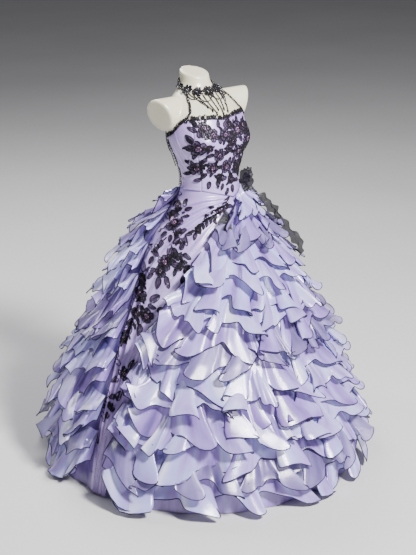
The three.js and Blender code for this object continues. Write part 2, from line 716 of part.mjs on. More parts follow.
const organzaTail = [
  { down: 0.003, angle: 74, spread: 10, out: 0.35 },
  { down: 0.0095, angle: 74, spread: 10, out: 0.4 },
  { down: 0.014, angle: 74, spread: 10, out: 4 },
  { down: 0.045, angle: 72, spread: 11, out: 14 },
  { down: 0.077, angle: 73, spread: 8, out: 24 },
  { down: 0.113, angle: 70, spread: 11, out: 41 },
  { down: 0.152, angle: 68, spread: 9, out: 60 },
  { down: 0.182, angle: 67, spread: 7, out: 50 },
  { down: 0.222, angle: 64, spread: 10, out: 52 },
  { down: 0.264, angle: 62, spread: 8, out: 66 },
  { down: 0.3, angle: 60, spread: 4, out: 62 },
];
add("organza_tail", stripGeometry(organzaTail, 1.5), blackOrganza);

export default gown;
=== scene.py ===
# %% [markdown]
# # A quinceanera ball gown on a dress form
# The object is a strapless-cut gown: a fitted satin bodice under black corded lace, a bead
# choker with a strap at each side, a satin panel down the front and eight tiers of organza.
# Everything is built in metres, in the frame of the CAD model: +Z up, the gown faces -Y, and the
# wearer's left is +X. Angles run round the body from the front, positive towards the left.

# %% Load the frame
import math
import bpy
import numpy as np
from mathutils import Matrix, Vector
from mathutils.bvhtree import BVHTree


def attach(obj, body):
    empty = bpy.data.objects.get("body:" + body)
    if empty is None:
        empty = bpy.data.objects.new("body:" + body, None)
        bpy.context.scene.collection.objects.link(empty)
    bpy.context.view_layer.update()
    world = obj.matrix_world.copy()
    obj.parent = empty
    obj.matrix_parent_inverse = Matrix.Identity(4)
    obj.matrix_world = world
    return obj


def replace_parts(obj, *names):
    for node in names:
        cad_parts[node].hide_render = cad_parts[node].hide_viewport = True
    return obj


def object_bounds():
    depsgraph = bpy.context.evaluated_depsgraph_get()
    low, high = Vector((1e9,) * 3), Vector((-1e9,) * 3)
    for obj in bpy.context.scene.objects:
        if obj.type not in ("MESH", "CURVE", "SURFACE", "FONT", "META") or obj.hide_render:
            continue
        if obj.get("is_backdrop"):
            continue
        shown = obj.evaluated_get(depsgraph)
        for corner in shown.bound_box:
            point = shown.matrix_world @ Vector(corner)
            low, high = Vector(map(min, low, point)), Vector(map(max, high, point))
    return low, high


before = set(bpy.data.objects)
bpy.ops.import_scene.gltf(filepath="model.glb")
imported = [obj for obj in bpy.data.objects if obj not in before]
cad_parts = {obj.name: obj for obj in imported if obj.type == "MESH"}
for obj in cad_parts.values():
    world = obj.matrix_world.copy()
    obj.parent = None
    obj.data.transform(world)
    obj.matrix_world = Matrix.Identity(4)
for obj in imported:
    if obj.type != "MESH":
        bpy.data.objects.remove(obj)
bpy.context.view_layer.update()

draw = np.random.default_rng(15)

# %% [markdown]
# ## The camera
# The camera comes first, because every later choice of detail depends on what it sees. The gown
# is seen from its right front and a little above. The lens is long, so that the tiers of the
# skirt aren't distorted. It is aimed a little under the middle of the gown.

# %% Camera
VIEW_AZIMUTH, VIEW_ELEVATION, VIEW_DISTANCE = math.radians(-40), math.radians(19.2), 4.8


def view_back(azimuth, elevation=0.0):
    """The direction from what is looked at to the camera."""
    return Vector((math.sin(azimuth) * math.cos(elevation),
                   -math.cos(azimuth) * math.cos(elevation), math.sin(elevation)))


bpy.ops.object.camera_add()
camera = bpy.context.object
back = view_back(VIEW_AZIMUTH, VIEW_ELEVATION)
aim = Vector((0.006, -0.005, 0.698))
camera.location = Vector((0, 0, 0.75)) + back * VIEW_DISTANCE
camera.rotation_mode = "QUATERNION"
camera.rotation_quaternion = (aim - camera.location).to_track_quat("-Z", "Y")
camera.data.lens, camera.data.sensor_width = 80.1, 36
camera.data.dof.use_dof = False
bpy.context.scene.camera = camera

# %% [markdown]
# ## Materials
# Each finish is a node material with its own grain. Cloth reads the UV map, which is laid out in
# metres along the cloth, so the weave turns with every fold. Hard pieces read object coordinates.
# The colour is never one flat number: noise at the size of a hand moves it between near shades.
# On the organza the noise is stretched into streaks down the flutes and spans deep violet to near
# white: partly the cloth's own shimmer, partly painted highlights on the crests and painted shade
# in the folds.

# %% Material helper
def noise(tree, source, scale, detail=3.0):
    node = tree.nodes.new("ShaderNodeTexNoise")
    node.inputs["Scale"].default_value = scale
    node.inputs["Detail"].default_value = detail
    tree.links.new(source, node.inputs["Vector"])
    return node.outputs["Fac"]


def ramp(tree, source, stops):
    node = tree.nodes.new("ShaderNodeValToRGB")
    while len(node.color_ramp.elements) < len(stops):
        node.color_ramp.elements.new(0.5)
    for element, (place, colour) in zip(node.color_ramp.elements, stops):
        element.position = place
        element.color = (*colour, 1)
    tree.links.new(source, node.inputs["Fac"])
    return node.outputs["Color"]


def weave(tree, source, scale, direction):
    node = tree.nodes.new("ShaderNodeTexWave")
    node.bands_direction = direction
    node.inputs["Scale"].default_value = scale
    node.inputs["Distortion"].default_value = 0.6
    tree.links.new(source, node.inputs["Vector"])
    return node.outputs["Fac"]


def add_up(tree, a, b):
    node = tree.nodes.new("ShaderNodeMath")
    node.operation = "ADD"
    tree.links.new(a, node.inputs[0])
    tree.links.new(b, node.inputs[1])
    return node.outputs[0]


def stretched(tree, source, scale):
    """The same place, stretched by a scale for each axis."""
    node = tree.nodes.new("ShaderNodeMapping")
    node.inputs["Scale"].default_value = scale
    tree.links.new(source, node.inputs["Vector"])
    return node.outputs["Vector"]


def finish_material(name, shades, numbers, grain=("noise", 220), bump=0.2, depth=0.0004,
                    cloudy=7.0, on="Object", painted_light_streaks=None):
    """A Principled material: shades is a colour ramp over noise, numbers go on its sockets."""
    made = bpy.data.materials.new(name)
    made.use_nodes = True
    tree = made.node_tree
    shader = tree.nodes["Principled BSDF"]
    place = tree.nodes.new("ShaderNodeTexCoord")
    # On the organza this noise is stretched into streaks down the flutes: the pale streaks are
    # painted highlights and the dark ones painted shade, over the cloth's own shimmer.
    if painted_light_streaks:
        clouds = noise(tree, stretched(tree, place.outputs[on], painted_light_streaks), cloudy)
    else:
        clouds = noise(tree, place.outputs["Object"], cloudy)
    tree.links.new(ramp(tree, clouds, shades), shader.inputs["Base Color"])
    kind, scale = grain
    if kind == "weave":
        height = add_up(tree, weave(tree, place.outputs[on], scale, "X"),
                        weave(tree, place.outputs[on], scale, "Y"))
    else:
        height = noise(tree, place.outputs[on], scale, 4.0)
    node = tree.nodes.new("ShaderNodeBump")
    node.inputs["Strength"].default_value = bump
    node.inputs["Distance"].default_value = depth
    tree.links.new(height, node.inputs["Height"])
    tree.links.new(node.outputs["Normal"], shader.inputs["Normal"])
    for socket, value in numbers.items():
        shader.inputs[socket].default_value = value
    return made


# %% The finishes
shell_white = finish_material(
    "form_shell", [(0.35, (0.62, 0.60, 0.44)), (0.65, (0.70, 0.68, 0.52))],
    {"Roughness": 0.33, "Coat Weight": 0.3, "Coat Roughness": 0.2}, ("noise", 60), 0.08, 0.002)
steel = finish_material(
    "stand_metal", [(0.4, (0.50, 0.50, 0.52)), (0.6, (0.58, 0.58, 0.60))],
    {"Roughness": 0.32, "Metallic": 0.95}, ("noise", 400), 0.1, 0.0003)
satin = finish_material(
    "satin", [(0.3, (0.31, 0.21, 0.53)), (0.5, (0.42, 0.30, 0.66)), (0.7, (0.53, 0.41, 0.78))],
    {"Roughness": 0.30, "Sheen Weight": 0.15, "Sheen Roughness": 0.3, "Specular IOR Level": 1.0,
     "Coat Weight": 0.3, "Coat Roughness": 0.24},
    ("weave", 520), 0.12, 0.0002, 5.0, "UV")
# A dark lilac satin for the cord along the bodice's lower edge: its darkness is painted shadow,
# standing for the shade under that edge.
painted_shadow_satin = finish_material(
    "painted_shadow_satin_cord", [(0.3, (0.10, 0.06, 0.20)), (0.7, (0.20, 0.13, 0.34))],
    {"Roughness": 0.4, "Sheen Weight": 0.2}, ("noise", 900), 0.3, 0.0003, 30.0)
black_lace = finish_material(
    "black_lace", [(0.3, (0.002, 0.0015, 0.003)), (0.7, (0.006, 0.004, 0.009))],
    {"Roughness": 0.6, "Specular IOR Level": 0.3}, ("noise", 900), 0.5, 0.0004, 60.0)
petal_net = finish_material(
    "petal_net", [(0.3, (0.008, 0.005, 0.014)), (0.5, (0.030, 0.018, 0.048)),
                  (0.68, (0.14, 0.09, 0.20))],
    {"Roughness": 0.55, "Alpha": 0.78, "Specular IOR Level": 0.35}, ("noise", 1400), 0.6,
    0.0005, 90.0)
pink_centre = finish_material(
    "pink_centre", [(0.3, (0.30, 0.10, 0.34)), (0.7, (0.60, 0.32, 0.62))],
    {"Roughness": 0.5, "Sheen Weight": 0.4}, ("noise", 1200), 0.5, 0.0004, 80.0)
black_ribbon = finish_material(
    "black_ribbon", [(0.3, (0.010, 0.009, 0.014)), (0.7, (0.03, 0.026, 0.04))],
    {"Roughness": 0.35, "Sheen Weight": 0.4}, ("weave", 420), 0.2, 0.0002, 30.0, "UV")
black_organza = finish_material(
    "black_organza", [(0.3, (0.004, 0.004, 0.006)), (0.7, (0.016, 0.015, 0.022))],
    {"Roughness": 0.42, "Specular IOR Level": 0.35, "Alpha": 0.9}, ("weave", 380), 0.3,
    0.0003, 26.0, "UV")
bead_black = finish_material(
    "beads", [(0.3, (0.004, 0.004, 0.006)), (0.7, (0.018, 0.016, 0.026))],
    {"Roughness": 0.12, "Coat Weight": 0.6}, ("noise", 700), 0.1, 0.0002, 120.0)
hem_thread = finish_material(
    "hem_thread", [(0.3, (0.010, 0.007, 0.024)), (0.7, (0.032, 0.024, 0.070))],
    {"Roughness": 0.5, "Specular IOR Level": 0.3}, ("noise", 900), 0.4, 0.0003, 40.0)


# Organza ramps run from deep violet to near white over streaks down the flutes: partly the cloth's
# own lilac and blue shimmer, partly painted highlights on the crests and painted shade in the
# folds.
def organza_material(name, shades, alpha, rough):
    return finish_material(
        name, shades,
        {"Roughness": rough, "Sheen Weight": 0.3, "Sheen Roughness": 0.25, "Alpha": alpha,
         "Specular IOR Level": 1.0},
        ("weave", 460), 0.16, 0.0002, 1.0, "UV", (11.0, 3.0, 1.0))


organza_light = organza_material(
    "organza_light", [(0.33, (0.20, 0.14, 0.42)), (0.44, (0.38, 0.28, 0.68)),
                      (0.55, (0.42, 0.42, 0.86)), (0.68, (0.74, 0.72, 0.98))], 0.94, 0.20)
organza_lilac = organza_material(
    "organza_lilac", [(0.33, (0.14, 0.10, 0.32)), (0.46, (0.29, 0.19, 0.54)),
                      (0.58, (0.40, 0.32, 0.76)), (0.70, (0.62, 0.57, 0.95))], 0.90, 0.22)
organza_sheer = organza_material(
    "organza_sheer", [(0.33, (0.22, 0.16, 0.46)), (0.44, (0.42, 0.33, 0.74)),
                      (0.55, (0.52, 0.51, 0.92)), (0.68, (0.82, 0.80, 1.0))], 0.84, 0.20)
organza_grey = organza_material(
    "organza_grey", [(0.33, (0.10, 0.08, 0.22)), (0.5, (0.23, 0.18, 0.42)),
                     (0.68, (0.44, 0.39, 0.72))], 0.78, 0.25)
print("materials", len(bpy.data.materials))

# %% [markdown]
# ## The two surfaces under the cloth
# The body and the skirt are each a table of ovals: at a height, how far back the oval sits and
# how far it reaches to the side, the front and the back. They are the CAD model's own tables, so
# every piece made from them lands where its solid is. A cubic read of the table keeps the body
# smooth between its rows.

# %% Tables
FORM = np.array([
    (0.780, -.006, .138, .092, .098), (0.880, -.010, .154, .102, .112),
    (0.980, -.018, .134, .096, .098), (1.050, -.022, .120, .092, .090),
    (1.125, -.022, .116, .090, .086), (1.195, -.016, .134, .106, .100),
    (1.258, -.008, .156, .118, .118), (1.315, -.002, .160, .112, .114),
    (1.365, .012, .152, .098, .100), (1.402, .034, .130, .080, .080),
    (1.428, .050, .092, .064, .064), (1.444, .058, .068, .057, .057),
    (1.462, .063, .058, .054, .054), (1.500, .070, .055, .054, .054)])
SKIRT = np.array([
    (0.000, 0, .612, .606, .616), (0.120, 0, .588, .582, .592), (0.250, 0, .549, .543, .553),
    (0.400, 0, .490, .484, .495), (0.550, 0, .416, .410, .422), (0.680, 0, .348, .342, .356),
    (0.800, 0, .285, .277, .292), (0.900, 0, .218, .208, .220), (0.970, -.006, .168, .150, .154),
    (1.030, -.015, .134, .114, .110), (1.090, -.022, .121, .097, .093)])
PANEL_EDGES = np.array([
    (0.000, -85, -78), (0.150, -85.5, -76.5), (0.300, -86.5, -75), (0.450, -88, -73),
    (0.600, -91, -69), (0.700, -93, -62), (0.800, -97, -50), (0.880, -103, -40),
    (0.950, -107, -26), (1.000, -113, -8), (1.060, -124, 20)])
WAIST, HEM = 1.082, 0.004
SATIN_WALL = 0.0011
# Radius of the dark cord that paints the shadow under the bodice's lower edge.
SHADOW_CORD_RADIUS = 0.0021
HEM_RADIUS = 0.0020


def mix(a, b, share):
    return a + (b - a) * share


def ease(value, low, high):
    """0 before low, 1 after high, and a smooth rise between."""
    share = np.clip((np.asarray(value, float) - low) / (high - low), 0, 1)
    return share * share * (3 - 2 * share)


def read(table, height):
    """The table's columns at heights, by a cubic that is straight at both ends."""
    t = table[:, 0]
    height = np.clip(height, t[0], t[-1])
    i = np.clip(np.searchsorted(t, height, side="right"), 1, len(t) - 1)
    before, after = np.where(i >= 2, i - 2, i), np.where(i + 1 < len(t), i + 1, i - 1)
    half = (t[i] - t[i - 1]) / 2
    wp, wn = half / (t[i - 1] - t[before]), half / (t[after] - t[i])
    p = (height - t[i - 1]) / (t[i] - t[i - 1])
    p2, p3 = p * p, p * p * p
    weights = (-wp * p3 + 2 * wp * p2 - wp * p,
               (1 + wp) * p3 + (-1.5 - 2 * wp) * p2 + (-0.5 + wp) * p + 1,
               (-1 - wn) * p3 + (1.5 + wn) * p2 + 0.5 * p, wn * p3 - wn * p2)
    return [sum(w * table[rows, column] for w, rows in zip(weights, (before, i - 1, i, after)))
            for column in range(1, table.shape[1])]


def in_steps(table, count):
    """A table's columns at even steps from its first row to its last, and the steps."""
    t = np.linspace(0, len(table) - 1, count)
    return t, [np.interp(t, range(len(table)), table[:, k]) for k in range(table.shape[1])]


def turned(x, z, turn, along, across):
    """Flat points turned by an angle and moved to a place."""
    c, s = math.cos(turn), math.sin(turn)
    return [(x + c * u - s * v, z + s * u + c * v) for u, v in zip(along, across)]


def wrapped(angle):
    return (np.asarray(angle, float) + 180) % 360 - 180


# %% Body and skirt
BUST_HEIGHT, BUST_ANGLE, BUST_OUT, BUST_WIDE, BUST_TALL = 1.262, 34, 0.022, 21, 0.044


def body(angle, height):
    """Points of the dress form's skin."""
    angle, height = np.broadcast_arrays(np.asarray(angle, float), np.asarray(height, float))
    back_set, side, front, rear = read(FORM, height)
    tall = np.exp(-((height - BUST_HEIGHT) / BUST_TALL) ** 2)
    cups = sum(np.exp(-((wrapped(angle) - s * BUST_ANGLE) / BUST_WIDE) ** 2) for s in (1, -1))
    out, turn = BUST_OUT * cups * tall, np.radians(angle)
    depth = np.where(np.cos(turn) > 0, front, rear)
    return np.stack([(side + out) * np.sin(turn),
                     back_set - (depth + out) * np.cos(turn), height], -1)


def moved_out(surface, angle, place, distance, step):
    """Points at a distance outside a surface; step is a small move up it."""
    across = surface(angle + 0.5, place) - surface(angle - 0.5, place)
    along = surface(angle, place + step) - surface(angle, place - step)
    normal = np.cross(across, along)
    normal /= np.linalg.norm(normal, axis=-1, keepdims=True)
    return surface(angle, place) + normal * np.asarray(distance, float)[..., None]


def on_body(angle, height, out):
    return moved_out(body, angle, height, out, 0.002)


def top_edge(angle):
    turn = np.abs(wrapped(angle))
    front = mix(1.350 - 0.006 * np.exp(-(turn / 12) ** 2), 1.286, ease(turn, 52, 104))
    return mix(front, 1.262, ease(turn, 96, 140))


def low_edge(angle):
    point = np.clip(1 - np.abs(wrapped(angle - 18)) / 66, 0, 1) ** 1.25
    return 1.082 - 0.038 * point - 0.018 * ease(np.abs(wrapped(angle)), 110, 180)


def skirt(angle, down):
    """Points of the skirt's base layer: down is 0 at the waist and 1 at the hem."""
    height = mix(low_edge(angle) - 0.0003, HEM, down)
    back_set, side, front, rear = read(SKIRT, height)
    turn = np.radians(angle)
    depth = np.where(np.cos(turn) > 0, front, rear)
    flared = np.stack([side * np.sin(turn), back_set - depth * np.cos(turn), height], -1)
    near = on_body(angle, height, np.full(np.shape(height), 0.0025))
    share = ease(down, 0, 0.07)[..., None]
    return mix(near, flared, share) * [1, 1, 0] + flared * [0, 0, 1]


def on_skirt(angle, down, out):
    angle, down, out = np.broadcast_arrays(*(np.asarray(v, float) for v in (angle, down, out)))
    return moved_out(skirt, angle, down, out, -0.004)


def panel_edge(column, down):
    height = mix(WAIST, HEM, down)
    return np.interp(height, PANEL_EDGES[:, 0], PANEL_EDGES[:, column])


print("waist point", np.round(body(18, 1.05), 3))

# %% [markdown]
# ## Helpers for cloth, cord and beads
# A piece of cloth starts as Blender's grid primitive, one vertex for each point of the cloth, and
# the vertices are moved to where the cloth hangs. The grid brings its own UV map, which is scaled
# to metres. A cord starts as a poly curve with a round bevel. Beads are one small primitive that
# is repeated.

# %% Cloth from a grid
def settle(piece, finish, nodes=()):
    """The finish, the body and the CAD nodes of a piece that is in place."""
    piece.data.materials.clear()
    piece.data.materials.append(finish)
    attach(piece, "root")
    if nodes:
        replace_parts(piece, *nodes)
    return piece


def apply_all(piece):
    bpy.context.view_layer.objects.active = piece
    for modifier in list(piece.modifiers):
        bpy.ops.object.modifier_apply(modifier=modifier.name)


def cloth(name, points, wall=0.0, closed=False):
    """A grid of points as cloth: its rows run down, its columns from the wearer's right to left."""
    rows, columns = points.shape[:2]
    bpy.ops.mesh.primitive_grid_add(x_subdivisions=columns - 1, y_subdivisions=rows - 1, size=2)
    piece = bpy.context.object
    piece.name = piece.data.name = name
    piece.data.vertices.foreach_set("co", np.ascontiguousarray(points[::-1], float).ravel())
    width = np.linalg.norm(np.diff(points, axis=1), axis=-1).sum(1).max()
    length = np.linalg.norm(np.diff(points, axis=0), axis=-1).sum(0).mean()
    layer = piece.data.uv_layers.active.data
    places = np.empty(len(layer) * 2)
    layer.foreach_get("uv", places)
    layer.foreach_set("uv", (places.reshape(-1, 2) * [width, length]).ravel())
    if closed:
        bpy.ops.object.mode_set(mode="EDIT")
        bpy.ops.mesh.select_all(action="SELECT")
        bpy.ops.mesh.remove_doubles(threshold=1e-5)
        bpy.ops.object.mode_set(mode="OBJECT")
    if wall:
        modifier = piece.modifiers.new("wall", "SOLIDIFY")
        modifier.thickness, modifier.offset = wall, -1
        apply_all(piece)
    bpy.ops.object.shade_smooth()
    piece.data.update()
    return piece, round(float(width), 3), round(float(length), 3)


# %% Cords and beads
def cords(name, lines, radius, round_steps=1):
    """One mesh of round cords along lines of points."""
    curve = bpy.data.curves.new(name, "CURVE")
    curve.dimensions, curve.bevel_depth, curve.bevel_resolution = "3D", radius, round_steps
    curve.use_fill_caps = True
    for line in lines:
        line = np.asarray(line, float)
        if len(line) < 2:
            continue
        spline = curve.splines.new("POLY")
        spline.points.add(len(line) - 1)
        spline.points.foreach_set("co", np.c_[line, np.ones(len(line))].ravel())
    piece = bpy.data.objects.new(name, curve)
    bpy.context.collection.objects.link(piece)
    bpy.ops.object.select_all(action="DESELECT")
    piece.select_set(True)
    bpy.context.view_layer.objects.active = piece
    bpy.ops.object.convert(target="MESH")
    piece = bpy.context.object
    piece.name = piece.data.name = name
    bpy.ops.object.shade_smooth()
    return piece


def beads(name, places, size, stretch=None):
    """Copies of one small bead at places; size is a radius, or one for each place."""
    bpy.ops.mesh.primitive_ico_sphere_add(subdivisions=1, radius=1)
    piece = bpy.context.object
    piece.name = piece.data.name = name
    unit = np.array([v.co for v in piece.data.vertices])
    faces = np.array([tuple(p.vertices) for p in piece.data.polygons])
    places = np.asarray(places, float)
    sizes = np.broadcast_to(np.asarray(size, float), (len(places),))
    stretch = np.ones(3) if stretch is None else np.asarray(stretch, float)
    points = places[:, None] + unit[None] * sizes[:, None, None] * stretch
    every = faces[None] + np.arange(len(places))[:, None, None] * len(unit)
    piece.data.clear_geometry()
    piece.data.from_pydata(points.reshape(-1, 3).tolist(), [], every.reshape(-1, 3).tolist())
    bpy.ops.object.shade_smooth()
    return piece


def patches(name, outlines, rings=1):
    """Filled outlines as one thin mesh. With two rings, each outline comes as its outer ring, a
    ring halfway in and its middle, so that the fill follows the cloth under it."""
    points, faces = [], []
    for outline in outlines:
        first, outline = len(points), list(outline)
        if rings == 1:
            outline.append(np.mean(outline, axis=0))
        points += outline
        count = (len(outline) - 1) // rings
        inner, middle = first + (rings - 1) * count, first + rings * count
        for k in range(count):
            after = (k + 1) % count
            if rings == 2:
                faces.append((first + k, first + after, inner + after, inner + k))
            faces.append((inner + k, inner + after, middle))
    mesh = bpy.data.meshes.new(name)
    mesh.from_pydata([tuple(p) for p in points], [], faces)
    piece = bpy.data.objects.new(name, mesh)
    bpy.context.collection.objects.link(piece)
    bpy.context.view_layer.objects.active = piece
    return piece


def spaced(line, step):
    """Points along a line, evenly spaced."""
    line = np.asarray(line, float)
    run = np.r_[0, np.cumsum(np.linalg.norm(np.diff(line, axis=0), axis=1))]
    places = np.linspace(0, run[-1], max(2, int(run[-1] / step) + 1))
    return np.stack([np.interp(places, run, line[:, k]) for k in range(3)], -1)


# %% [markdown]
# ## The dress form
# A limbless shop form is a smooth moulded shell. The torso starts as a grid wrapped round the
# body table and closed at both ends, and each shoulder stub is a short loft. A voxel remesh makes
# them one skin and rounds the cut edges, as a moulded shell's are. The steel pole and base of the
# CAD model are plain round parts, so they stay and only get their finish.

# %% Dress form
def ring_skin(name, rings):
    """A closed skin through rings of points."""
    rings = np.asarray(rings)
    points = np.concatenate([rings, rings[:, :1]], 1)[::-1]
    piece, _, _ = cloth(name, points, closed=True)
    bpy.ops.object.mode_set(mode="EDIT")
    bpy.ops.mesh.select_all(action="SELECT")
    bpy.ops.mesh.fill_holes(sides=0)
    bpy.ops.mesh.normals_make_consistent(inside=False)
    bpy.ops.object.mode_set(mode="OBJECT")
    return piece


around = np.arange(-180, 180, 3.0)
heights = np.r_[np.linspace(0.782, 1.40, 70), np.linspace(1.407, 1.498, 18)]
torso_rings = [body(around, np.full(around.shape, h)) for h in heights]
lean = (torso_rings[-1][:, 1] - 0.070) * math.tan(math.radians(14))
torso_rings[-1][:, 2] += lean
torso_rings[-2][:, 2] += lean * 0.6
form = ring_skin("form_shell", torso_rings)
turns = np.radians(np.arange(0, 360, 10))
stubs = []
for side in (1, -1):
    rings = []
    for share in (0, 0.25, 0.5, 0.75, 0.92, 0.98, 1.0):
        x, y, z = mix(.088, .202, share), mix(.034, .024, share), mix(1.366, 1.362, share)
        rounded = {0.98: 0.985, 1.0: 0.93}.get(share, 1)
        up = mix(.056, .062, share) * rounded * np.sin(turns)
        fore = mix(.044, .052, share) * rounded * np.cos(turns)
        tilt = (up * math.tan(math.radians(18)) - fore * math.tan(math.radians(20))) * share
        rings.append(np.stack([side * (x + tilt), y - fore, z + up], -1))
    stubs.append(ring_skin(f"stub{side}", rings))
bpy.ops.object.select_all(action="DESELECT")
for stub in stubs:
    stub.select_set(True)
form.select_set(True)
bpy.context.view_layer.objects.active = form
bpy.ops.object.join()
form = bpy.context.object
remesh = form.modifiers.new("one skin", "REMESH")
remesh.mode, remesh.voxel_size = "VOXEL", 0.0044
soften = form.modifiers.new("soften", "SMOOTH")
soften.factor, soften.iterations = 0.5, 12
apply_all(form)
bpy.ops.object.shade_smooth()
settle(form, shell_white, ["form_torso"])
for node in ("form_pole", "form_base"):
    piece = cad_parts[node]
    for place in piece.material_slots:
        place.material = steel
print("form", len(form.data.polygons), "faces")

# %% [markdown]
# ## The bodice
# Five satin panels are stretched on the body: a front, two sides and two backs that lace up.
# A stretched cloth only wrinkles a little: soft diagonal pulls run from the bust to the
# waist, each seam pinches the cloth, and the last 4 cm above the point is a smooth folded band.
# The pulls are listed as short ridges, and the same kind runs over the back.

# %% Bodice panels
PULLS = [  # angle, height, half length, half width, slope, rise: all in degrees or metres
    (-44, 1.205, 26, .0065, -.10, .0026), (-30, 1.168, 34, .0055, -.16, .0024),
    (-12, 1.142, 30, .0050, -.20, .0028), (8, 1.118, 30, .0060, -.22, .0024),
    (-52, 1.150, 22, .0050, -.12, .0022), (-70, 1.185, 24, .0060, .10, .0022),
    (-84, 1.140, 20, .0050, .14, .0024), (-60, 1.118, 26, .0050, -.06, .0024),
    (-20, 1.196, 22, .0050, -.18, .0018), (34, 1.150, 26, .0055, .18, .0026),
    (52, 1.190, 24, .0060, .14, .0024), (70, 1.160, 22, .0050, -.10, .0024),
    (62, 1.125, 26, .0055, .08, .0024), (88, 1.200, 20, .0060, -.12, .0022),
    (110, 1.170, 18, .0055, .10, .0022), (122, 1.210, 16, .0055, -.10, .0020),
    (-112, 1.165, 18, .0055, -.10, .0022), (-122, 1.215, 16, .0055, .10, .0020),
    (112, 1.115, 18, .0050, -.08, .0022), (-112, 1.112, 18, .0050, .08, .0022),
    (-38, 1.098, 30, .0045, -.05, .0022), (24, 1.086, 28, .0045, -.12, .0022),
    (-78, 1.250, 9, .0055, -3.2, .0032), (-88, 1.222, 8, .0050, -3.6, .0028),
    (-64, 1.212, 8, .0045, 2.6, .0024), (-96, 1.188, 8, .0050, -2.8, .0028),
    (80, 1.240, 9, .0055, 3.0, .0030), (92, 1.200, 8, .0050, 2.6, .0026),
    (0, 1.074, 15, .0040, -.90, .0034), (-18, 1.092, 15, .0035, -.60, .0026)]
SEAMS = (-130, -100, -50, 50, 100, 130)
BAND = 0.040


def bodice_out(angle, height):
    """How far the satin stands off the form, with its pulls, seams and waist band."""
    out = np.full(np.shape(angle), 0.0021)
    for a, h, long, wide, slope, rise in PULLS:
        run = wrapped(angle - a) / long
        off = height - (h + slope * wrapped(angle - a) * 0.0022) - 0.004 * run * run
        out = out + rise * 1.25 * np.exp(-run ** 2) * np.exp(-(off / wide) ** 2)
    for seam in SEAMS:
        out = out - 0.0019 * np.exp(-(wrapped(angle - seam) / 1.3) ** 2)
    above = height - low_edge(angle)
    band = 1 - ease(above, BAND - 0.006, BAND)
    return out + 0.0010 * band + 0.0016 * (1 - ease(above, 0, 0.007)) \
        - 0.0005 * np.exp(-((above - BAND) / 0.0026) ** 2)


shares = np.linspace(0, 1, 60)
bodice_parts = {"bodice_front": (-50, 50), "bodice_side_left": (50, 100),
                "bodice_side_right": (-100, -50), "bodice_back_left": (100, 130),
                "bodice_back_right": (-130, -100)}
bodice = {}
for name, (start, end) in bodice_parts.items():
    angles = np.linspace(start + 0.04, end - 0.04, int((end - start) * 0.9))
    a, s = np.meshgrid(angles, shares)
    h = mix(top_edge(a), low_edge(a), s)
    points = on_body(a, h, bodice_out(a, h))
    piece, width, length = cloth(f"{name}_satin", points, SATIN_WALL)
    settle(piece, satin, [name])
    bodice[name] = piece
# A dark cord along the bodice's lower edge is painted shadow: it stands for the shade under the
# edge of the satin.
shadow_cord_angles = np.linspace(-129, 129, 260)
shadow_cord_out = bodice_out(shadow_cord_angles, low_edge(shadow_cord_angles)) + 0.0006
shadow_cord_line = on_body(shadow_cord_angles, low_edge(shadow_cord_angles), shadow_cord_out)
settle(cords("bodice_edge_painted_shadow", [shadow_cord_line], SHADOW_CORD_RADIUS, 1), painted_shadow_satin)
print("bodice", {k: len(p.data.polygons) for k, p in bodice.items()})

# %% [markdown]
# ## The skirt's base and its front panel
# The flounces are sewn to a plain layer that hangs from the waist. The front panel is a satin one
# over it. Drape folds run from the point of the bodice down to the wearer's right, kept low where
# the lace trim crosses them, and long soft folds follow lower down.

# %% Skirt base
base_shares = np.linspace(0, 1, 46)
base_angles = np.linspace(-180, 180, 241)
a, d = np.meshgrid(base_angles, base_shares)
flutes = 0.5 + 0.5 * np.sin(np.radians(a) * 26 + 1.3 * np.sin(np.radians(a) * 5))
base_points = on_skirt(a, d, -0.0006 - 0.010 * flutes * ease(d, 0.10, 0.6))
skirt_base, _, _ = cloth("skirt_base_organza", base_points, closed=True)
settle(skirt_base, organza_lilac, ["skirt_base"])

# %% Front panel
DRAPES = [  # where a fold leaves the point, how wide it is, how long, how high
    (0.14, .0080, 0.80, .0120), (0.28, .0095, 0.88, .0165), (0.44, .0100, 0.92, .0180),
    (0.61, .0105, 0.86, .0150), (0.84, .0170, 0.84, .0050), (1.10, .0180, 0.80, .0060),
    (1.34, .0140, 0.70, .0090), (1.48, .0120, 0.55, .0070)]
LONG_FOLDS = [(0.16, .028, 0.34, .0060), (0.34, .040, 0.30, .0085), (0.55, .045, 0.44, .0090),
              (0.70, .022, 0.55, .0050), (0.84, .036, 0.60, .0075), (0.44, .020, 0.72, .0050)]


def panel_out(share, down):
    """How far the satin stands off the base: drape folds from the point, then long soft ones."""
    reach = np.hypot(1.02 - share, 2.2 * down)
    turn = np.arctan2(2.2 * down, 1.02 - share + 1e-6)
    out = np.full(np.shape(share), 0.0026)
    edge = ease(share, 0, 0.08) * (1 - ease(share, 0.94, 1))
    calm = 1 - ease(share, 0.78, 0.96)  # the trim lies flat along this side
    for place, wide, long, rise in DRAPES:
        off = (turn - place - 0.12 * (reach - 0.4)) / (wide * 4.2)
        out = out + rise * edge * calm * np.exp(-off ** 2) * ease(reach, 0.10, 0.30) \
            * (1 - ease(reach, long, long + 0.35))
    for place, wide, start, rise in LONG_FOLDS:
        off = (share - place - 0.05 * np.sin(7 * down + 9 * place)) / wide
        out = out + rise * edge * np.exp(-off ** 2) * ease(down, start - 0.2, start + 0.1)
    return out + 0.0004 * np.sin(90 * share + 30 * down) * ease(down, 0, .1)


s, d = np.meshgrid(np.linspace(0, 1, 80), np.linspace(0, 1, 220) ** 1.15)
panel_angles = mix(panel_edge(1, d), panel_edge(2, d), s)
front_panel, width, length = cloth(
    "front_panel_satin", on_skirt(panel_angles, d, panel_out(s, d)), SATIN_WALL)
settle(front_panel, satin, ["skirt_front_panel"])
print("panel", width, length)
